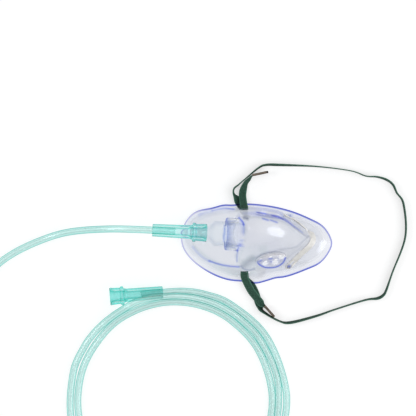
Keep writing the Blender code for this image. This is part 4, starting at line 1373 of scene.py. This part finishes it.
# In the order of Stroke's own values: path, colour, reach, depth, above, ridge and aim
STROKES = [
    # Shoulders of the chin pocket, on the far and the near side
    Stroke(((-51.8, 24.8), (-45.9, 27.6), (-40.1, 29.3)), PALE_EDGE, 1.2, 0.5),
    Stroke(((-40.1, 29.3), (-33.8, 30.2), (-27.6, 30.8), (-20.4, 30.9)), BLUE_EDGE, 0.65, 0.6),
    Stroke(((-57.1, -2.8), (-53.5, -7.3), (-48.2, -12.2), (-42.0, -15.8)), PALE_EDGE, 1.1, 0.5, 5.0),
    Stroke(((-42.8, -15.2), (-33.9, -18.1), (-25.9, -19.6), (-16.0, -20.5)), BLUE_EDGE, 0.7, 0.75, 5.0),
    # Foot of the dome's far wall and the far vents
    Stroke(((-0.5, 28.2), (4.3, 27.5), (8.1, 26.7)), BLUE_EDGE, 0.6, 0.75, 8.0),
    Stroke(((13.0, 25.2), (17.6, 23.9), (22.7, 21.8)), BLUE_EDGE, 0.8, 0.95, 8.0),
    Stroke(((24.6, 20.6), (30.1, 18.8), (36.1, 16.3), (41.2, 12.5)), PALE_EDGE, 0.9, 0.6, 8.0),
    Stroke(((3.7, 22.0), (8.5, 20.7)), BLUE_EDGE, 0.7, 0.6, 30.0),
    Stroke(((10.4, 20.8), (16.3, 18.9)), BLUE_EDGE, 0.6, 0.6, 30.0),
    # Root of the neck and the front wall below it
    Stroke(((-16.3, 23.2), (-13.6, 20.0), (-12.7, 17.5)), BLUE_EDGE, 0.8, 0.9, 14.0),
    Stroke(((-12.7, 17.5), (-12.5, 12.8), (-13.2, 6.9), (-15.4, 0.2)), PALE_EDGE, 0.8, 0.8, 14.0),
    Stroke(((-15.4, 0.2), (-16.8, -3.2), (-18.1, -5.8)), BLUE_EDGE, 0.7, 0.8, 14.0),
    Stroke(((-17.4, -5.1), (-18.1, -10.5), (-18.0, -15.4)), PALE_EDGE, 0.6, 0.8, 14.0),
    # Near recess: its floor, its low edge and its high wall, which carries a painted highlight
    Stroke(((3.5, -15.2), (12.4, -15.4), (21.5, -13.0)), (0.88, 0.885, 0.935), 4.2, 1.0, 9.0),
    Stroke(((6.3, -17.3), (7.8, -17.2)), CLEARED, 1.2, 1.0, 9.0),
    Stroke(((15.1, -16.4), (16.9, -16.0)), CLEARED, 1.5, 1.0, 9.0),
    Stroke(((20.8, -11.7), (22.7, -11.9)), CLEARED, 1.4, 1.0, 9.0),
    Stroke(((1.8, -15.4), (3.5, -14.6)), BLUE_EDGE, 0.8, 0.55, 9.0),
    Stroke(((10.3, -13.2), (13.0, -13.0)), BLUE_EDGE, 0.7, 0.6, 9.0),
    Stroke(((11.9, -15.6), (13.0, -16.0)), BLUE_EDGE, 0.6, 0.45, 9.0),
    Stroke(
        ((0.2, -15.9), (2.8, -18.9), (8.9, -21.1), (16.8, -20.6), (22.7, -17.0), (24.9, -12.4)),
        BLUE_EDGE, 0.65, 0.95, 9.0
    ),
    Stroke(
        ((0.1, -14.8), (4.4, -11.6), (11.2, -10.1), (19.2, -9.4), (24.3, -10.3)),
        LIT_RIM, 1.8, 1.0, 14.0
    ),
    # Folds in the soft dome, from the nose clip back to the near strap, lifted a little, with painted shade
    # along them
    Stroke(
        (
            (44.9, 7.1), (40.2, 2.8), (35.6, -1.1), (30.2, -3.2), (24.8, -4.0),
            (15.9, -5.4), (8.0, -7.0), (1.9, -9.1), (-2.3, -11.8),
        ),
        PAINTED_FOLD_SHADE, 1.1, 0.7, 14.0, 0.35
    ),
    Stroke(
        ((44.9, 7.1), (37.3, 12.6), (29.9, 16.2), (23.5, 18.9), (11.0, 21.7), (-1.1, 23.6)),
        PAINTED_FOLD_SHADE, 1.4, 0.6, 14.0, 0.3
    ),
    Stroke(((40.2, -1.4), (33.2, -6.9), (26.8, -13.0)), PAINTED_FOLD_SHADE, 1.2, 0.4, 12.0, 0.2),
    # Dent under the nose clip's far arm, and the clip's studs
    Stroke(
        ((27.0, 25.6), (32.5, 21.2), (38.0, 16.8), (43.0, 12.6)),
        UNTINTED, 4.6, 1.0, 5.0, -3.0, (0.48, 0.76, 0.44)
    ),
    Stroke(((27.7, -20.1), (28.9, -20.1)), BLUE_EDGE, 1.2, 0.45, 6.0),
    Stroke(((30.0, 26.0), (31.6, 25.6)), PALE_EDGE, 1.0, 0.6),
    # Painted shade: the grey hollow at the near strap's root, a dark spot at the neck's root, the broad
    # shade of the dome's top and a fold at the near foot; also a darker edge below the hollow and a paler
    # strip under it
    # Painted shade in the hollow, which is also dented a little
    Stroke(((-11.4, -19.2), (-8.5, -17.0), (-4.4, -13.8)), (0.80, 0.815, 0.845), 3.6, 1.0, 6.0, -0.4),
    Stroke(
        ((-14.2, -19.8), (-11.6, -22.6), (-7.2, -23.4), (-2.4, -22.2)),
        (0.74, 0.77, 0.86), 0.8, 0.8, 4.0
    ),
    Stroke(((-12.6, -24.0), (-5.4, -25.2), (3.4, -25.4)), (1.05, 1.05, 1.04), 1.0, 1.0, 3.0),
    # Painted shade: a dark spot where the neck meets the dome
    Stroke(((-12.0, 23.6), (-9.6, 22.9)), (0.62, 0.64, 0.70), 1.5, 1.0, 20.0),
    # Broad painted shade over the dome's top
    Stroke(((-9.0, 12.0), (0.0, 4.0), (12.0, 1.0)), (0.955, 0.955, 0.965), 11.0, 1.0, 20.0),
    Stroke(((-4.4, -26.1), (8.1, -25.2), (20.6, -23.5), (34.2, -20.9)), PAINTED_FOLD_SHADE, 1.2, 0.35, 3.0),
]


@dataclass(frozen=True)
class RimWave:
    """A stretch of the rim that lies off its plain outline, as soft vinyl does.

    It is centred at x, on one side of the mask, and moved by shift along y, over a reach to each
    side. All are in millimetres.
    """

    x: float
    side: Side
    shift: float
    reach: float


@dataclass
class MaskShell:
    """The soft moulded mask: smooth walls, a rolled rim in a deeper tint, folds and thick edges, with
    painted shade in its folds and hollows and over its dome, and a painted highlight on one wall.

    A pair of values is where something begins and where it is complete.
    """

    # Outline of the rim, seen from above, and the shell's lean
    rim_chin_x: float = -68.2 * MM
    rim_nose_x: float = 68.2 * MM
    rim_widest_x: float = -5.0 * MM
    rim_half_width: float = 35.2 * MM
    chin_roundness: float = 2.1
    nose_roundness: float = 1.78
    outline_steps: int = 500
    lean: float = 0.30
    chin_drift: float = 5.0 * MM
    chin_drift_from_x: float = -20.0 * MM

    # Rounding of the facets
    sharp: float = 32.0
    quad_angle: float = 25.0
    quad_skew: float = 50.0
    roundings: int = 2

    # How the soft vinyl lies: the dome's top and the waves of the rim
    flattening: float = 2.6 * MM
    crown_starts: Flat = (-12 * MM, 2 * MM)
    crown_ends: Flat = (20 * MM, 34 * MM)
    crown_heights: Flat = (12 * MM, 18 * MM)
    crown_half_width: float = 10 * MM
    wave_heights: Flat = (3 * MM, 12 * MM)
    wave_sides: Flat = (0.0, 14 * MM)
    rim_waves: tuple[RimWave, ...] = (
        RimWave(-56.0, Side.FAR, 2.0, 10.0),
        RimWave(-30.0, Side.FAR, 1.4, 7.0),
        RimWave(60.0, Side.FAR, 1.6, 9.0),
        RimWave(-0.6, Side.NEAR, -1.5, 7.0),
        RimWave(17.0, Side.NEAR, 1.0, 6.0),
        RimWave(57.0, Side.NEAR, -1.8, 9.0),
    )

    # Tints of the neck, from the frame at its mouth, and of the flange and the rim
    neck: Matrix = field(default_factory=lambda: MASK_CONNECTOR @ Matrix.Translation((-16.9 * MM, 0, 0)))
    neck_radii: Flat = (10.9 * MM, 14.8 * MM)
    neck_middle: float = -6.5 * MM
    neck_half_length: float = 7.5 * MM
    neck_tone: Colour = (0.984, 0.992, 1.02)
    neck_side_slope: float = 0.45
    neck_side_tone: Colour = (1.18, 1.15, 1.04)
    mouth_from: float = -0.9 * MM
    mouth_tone: Colour = (0.78, 0.83, 0.96)
    flange_top: float = 4.6 * MM
    flange_tone: Colour = (1.055, 1.052, 1.040)
    flange_gloss: float = 0.2
    rim_widths: Flat = (0.9 * MM, 1.7 * MM)
    rim_tone: Colour = (0.36, 0.41, 0.81)
    pale_rim_tone: Colour = (0.80, 0.80, 0.94)
    chin_paleness: Flat = (-60 * MM, -34 * MM)
    nose_paleness: Flat = (44 * MM, 66 * MM)
    nose_pale_share: float = 0.6

    def half_width(self, x: np.ndarray) -> np.ndarray:
        """Works out half the width of the upright rim.

        Args:
            x: Places along the mask.

        Returns:
            Half the width at each.
        """
        chin = (x - self.rim_widest_x) / (self.rim_chin_x - self.rim_widest_x)
        nose = (x - self.rim_widest_x) / (self.rim_nose_x - self.rim_widest_x)
        chin_half = (1 - np.clip(chin, 0, 1) ** self.chin_roundness) ** (1 / self.chin_roundness)
        nose_half = (1 - np.clip(nose, 0, 1) ** self.nose_roundness) ** (1 / self.nose_roundness)
        return self.rim_half_width * np.where(x < self.rim_widest_x, chin_half, nose_half)

    def upright(self, places: np.ndarray) -> np.ndarray:
        """Takes the shell's lean away.

        Args:
            places: Points of the leaning shell.

        Returns:
            Where they lie on the upright one.
        """
        drift = self.chin_drift * smooth_step(-places[:, 0], -self.chin_drift_from_x, -self.rim_chin_x)
        found = places.copy()
        found[:, 1] -= self.lean * places[:, 2] + drift
        return found

    def rim_distance(self, upright: np.ndarray) -> np.ndarray:
        """Measures from the rim's outline, seen from above.

        Args:
            upright: Points of the upright shell.

        Returns:
            The distance of each.
        """
        turn = np.linspace(0, math.pi, self.outline_steps)
        x = self.rim_chin_x + (self.rim_nose_x - self.rim_chin_x) * (1 - np.cos(turn)) / 2
        y = self.half_width(x)
        outline = np.concatenate([np.stack([x, y], 1), np.stack([x, -y], 1)])
        return np.array([np.hypot(*(outline - p).T).min() for p in upright[:, :2]])

    def smoothed(self) -> bpy.types.Object:
        """Rounds the CAD shell's facets and keeps its sharp edges.

        Returns:
            A merged copy of the shell.
        """
        shell = copy_of_node("mask_body", "mask_shell", self.sharp)
        pick(shell)
        bpy.ops.object.mode_set(mode="EDIT")
        bpy.ops.mesh.select_all(action="SELECT")
        bpy.ops.mesh.tris_convert_to_quads(
            face_threshold=math.radians(self.quad_angle), shape_threshold=math.radians(self.quad_skew)
        )
        bpy.ops.object.mode_set(mode="OBJECT")
        work = bmesh.new()
        work.from_mesh(shell.data)
        crease = work.edges.layers.float.new("crease_edge")
        for edge in work.edges:
            if len(edge.link_faces) == 2 and edge.calc_face_angle() > math.radians(self.sharp):
                edge[crease] = 1
        work.to_mesh(shell.data)
        work.free()
        rounding = shell.modifiers.new("rounding", "SUBSURF")
        rounding.levels = rounding.render_levels = self.roundings
        pick(shell)
        bpy.ops.object.modifier_apply(modifier=rounding.name)
        return shell

    def flattened(self, places: np.ndarray) -> np.ndarray:
        """Flattens the dome's top, as soft vinyl settles, by lifting its shoulders.

        Args:
            places: The vertices' places.

        Returns:
            The new places.
        """
        upright = self.upright(places)
        x, side = upright[:, 0], np.abs(upright[:, 1]) / self.crown_half_width
        share = smooth_step(x, *self.crown_starts) * (1 - smooth_step(x, *self.crown_ends))
        shoulder = side**3 * np.exp(1.5 * (1 - side**2)) * smooth_step(places[:, 2], *self.crown_heights)
        rise = self.flattening * share * shoulder
        found = places.copy()
        found[:, 1] += self.lean * rise
        found[:, 2] += rise
        return found

    def reshape(self, places: np.ndarray, normals: np.ndarray) -> np.ndarray:
        """Flattens the dome, waves the rim, and lifts or dents the folds.

        Args:
            places: The vertices' places.
            normals: The vertices' normals.

        Returns:
            The new places.
        """
        found = self.flattened(places)
        across = self.upright(places)[:, 1]
        low = 1 - smooth_step(places[:, 2], *self.wave_heights)
        for wave in self.rim_waves:
            nearness = np.exp(-(((places[:, 0] / MM - wave.x) / wave.reach) ** 2))
            on_side = smooth_step(wave.side.value * across, *self.wave_sides)
            found[:, 1] += wave.shift * MM * nearness * on_side * low
        up = np.where(normals[:, 2:] < 0, -1.0, 1.0) * normals
        for stroke in STROKES:
            if stroke.ridge:
                way = up if stroke.aim is None else np.array(stroke.aim)
                found += (stroke.weights(places) * stroke.ridge * MM)[:, None] * way
        return found

    def tones(self, places: np.ndarray, normals: np.ndarray) -> np.ndarray:
        """The colour that one face of the wall lets through at each vertex, over its plain tint, with
        painted shade and highlight included.

        Args:
            places: The vertices' places, before they are reshaped.
            normals: The vertices' normals.

        Returns:
            Red, green and blue for each.
        """
        tone = np.ones((len(places), 3))
        for stroke in STROKES:
            tone *= 1 + stroke.weights(places)[:, None] * (np.array(stroke.colour) - 1)
        self.tint_neck(tone, places, normals)
        self.tint_rim(tone, places)
        return tone

    def tint_neck(self, tone: np.ndarray, places: np.ndarray, normals: np.ndarray) -> None:
        """Tints the neck, its sides and its mouth.

        Args:
            tone: The vertices' tones, which it changes.
            places: The vertices' places.
            normals: The vertices' normals.
        """
        inward = self.neck.inverted()
        local = np.array([tuple(inward @ Vector(p)) for p in places])
        around = np.hypot(local[:, 1], local[:, 2])
        inside, outside = self.neck_radii
        on_neck = (around > inside) & (around < outside)
        on_neck &= np.abs(local[:, 0] - self.neck_middle) < self.neck_half_length
        mouth = on_neck & (local[:, 0] > self.mouth_from)
        tone[on_neck] *= self.neck_tone
        tone[mouth] *= self.mouth_tone
        tone[on_neck & ~mouth & (np.abs(normals[:, 2]) < self.neck_side_slope)] *= self.neck_side_tone

    def tint_rim(self, tone: np.ndarray, places: np.ndarray) -> None:
        """Tints the flange and the rolled rim, which is paler round the chin and the nose.

        Args:
            tone: The vertices' tones, which it changes.
            places: The vertices' places.
        """
        low = places[:, 2] < self.flange_top
        tone[low] *= self.flange_tone
        distance = np.full(len(places), np.inf)
        distance[low] = self.rim_distance(self.upright(places)[low])
        on_rim = (1 - smooth_step(distance, *self.rim_widths))[:, None]
        past_chin = smooth_step(places[:, 0], *self.chin_paleness)
        at_nose = smooth_step(places[:, 0], *self.nose_paleness)
        pale = 1 - past_chin * (1 - self.nose_pale_share * at_nose)
        rim = np.array(self.rim_tone) + pale[:, None] * (np.array(self.pale_rim_tone) - self.rim_tone)
        tone *= 1 + on_rim * (rim - 1)

    def build(self, soft: bpy.types.Material) -> bpy.types.Object:
        """Builds the shell.

        Args:
            soft: Material of its walls, which reads the tone of each place.

        Returns:
            The shell.
        """
        shell = self.smoothed()
        mesh = shell.data
        count = len(mesh.vertices)
        places, normals = np.empty(count * 3), np.empty(count * 3)
        mesh.vertices.foreach_get("co", places)
        mesh.vertices.foreach_get("normal", normals)
        places, normals = places.reshape(-1, 3), normals.reshape(-1, 3)
        tone = mesh.color_attributes.new("tone", "FLOAT_COLOR", "POINT")
        gloss = np.where(places[:, 2] < self.flange_top, self.flange_gloss, 1.0)
        painted = np.concatenate([self.tones(places, normals), gloss[:, None]], 1)
        tone.data.foreach_set("color", painted.ravel())
        mesh.vertices.foreach_set("co", self.reshape(places, normals).ravel())
        mesh.materials.append(soft)
        mesh.update()
        smooth(shell, self.sharp)
        finish_piece(shell, MaterialSlot.CLEAR_PVC, "mask_body")
        return shell


@dataclass
class NoseClip:
    """The bent aluminium strip, whose far arm stands steeper and follows the dent in the dome."""

    sharp: float = 40.0
    bridge_depth: float = 6.0 * MM
    arm_starts: float = 4.0 * MM
    turn: float = math.radians(28)
    turn_over: float = 6.0 * MM
    lift: float = 0.2 * MM
    tuck: float = 2.6 * MM
    tuck_over: float = 13.0 * MM

    def build(self, material: bpy.types.Material) -> bpy.types.Object:
        """Builds the clip, its far arm turned about its own length and tucked in.

        Args:
            material: Its material.

        Returns:
            The clip.
        """
        clip = copy_of_node("nose_clip", "clip_strip", self.sharp)
        mesh = clip.data
        places = np.array([tuple(v.co) for v in mesh.vertices])
        bridge_y = places[places[:, 0] > places[:, 0].max() - self.bridge_depth].mean(0)[1]
        arm = places[places[:, 1] > bridge_y + self.arm_starts]
        middle = Vector(arm.mean(0))
        _, _, axes = np.linalg.svd(arm - arm.mean(0))
        along, normal = Vector(axes[0]), Vector(axes[2])
        if along.y < 0:
            along = -along
        if normal.z < 0:
            normal = -normal
        steeper = 1 if (Matrix.Rotation(self.turn, 3, along) @ normal).z < normal.z else -1
        inward = Vector((-along.y, along.x, 0)).normalized()
        start = middle + along * min((Vector(p) - middle).dot(along) for p in arm)
        for vertex in mesh.vertices:
            gone = (vertex.co - start).dot(along)
            share = float(smooth_step(np.array(gone), 0.0, self.turn_over))
            if share == 0 or vertex.co.y < bridge_y:
                continue
            pivot = start + along * gone
            turned = Matrix.Rotation(steeper * self.turn * share, 3, along) @ (vertex.co - pivot)
            tucked = float(smooth_step(np.array(gone), 0.0, self.tuck_over))
            vertex.co = pivot + turned + normal * self.lift * share + inward * self.tuck * tucked
        clip.data.materials.append(material)
        finish_piece(clip, MaterialSlot.ALUMINIUM, "nose_clip")
        return clip


def dressed_copy(
    node: str, name: str, material: bpy.types.Material, slot: MaterialSlot, degrees: float = 30.0
) -> bpy.types.Object:
    """Dresses a merged copy of a CAD node in its place.

    Args:
        node: Name of the CAD node.
        name: Name of the new piece.
        material: Its material.
        slot: Its slot in the record.
        degrees: Edges sharper than this stay sharp.

    Returns:
        The new piece.
    """
    item = copy_of_node(node, name, degrees)
    item.data.materials.append(material)
    finish_piece(item, slot, node)
    return item


def build_tubing(effects: Effects) -> None:
    """Args:
        effects: The shared shader groups.
    """
    tube = Tubing()
    tubing = tube.build(PALE_TEAL.build(effects), LUMEN.build(effects))
    near_end = Connector("mask_cuff", "mask_connector", MASK_CONNECTOR).build(THIN_TEAL_VINYL.build(effects))
    far_end = Connector("source_cuff", "source_connector", SOURCE_CONNECTOR).build(TEAL_VINYL.build(effects))
    line = tube.line()


def build_strap(effects: Effects) -> None:
    """Args:
        effects: The shared shader groups.
    """
    strap = HeadStrap()
    band = strap.build(BAND.build(effects))
    plate = TIP_PLATE.build(effects)
    tips = [
        dressed_copy(f"strap_tip_{end}", f"crimped_tip_{end}", plate, MaterialSlot.TIP_METAL)
        for end in ("upper", "lower")
    ]
    line = strap.line()


def main() -> None:
    """Builds the studio, the cords and then every other piece."""
    logging.basicConfig(level=logging.INFO, format="%(name)s: %(message)s")
    Studio().build()
    effects = Effects()
    build_tubing(effects)
    build_strap(effects)
    MaskShell().build(SOFT_CLEAR.build(effects))
    dressed_copy("inlet_adapter", "clear_adapter", RIGID_CLEAR.build(effects), MaterialSlot.CLEAR_RIGID)
    NoseClip().build(CLIP_METAL.build(effects))

    deselect_all()


if __name__ == "__main__":
    main()
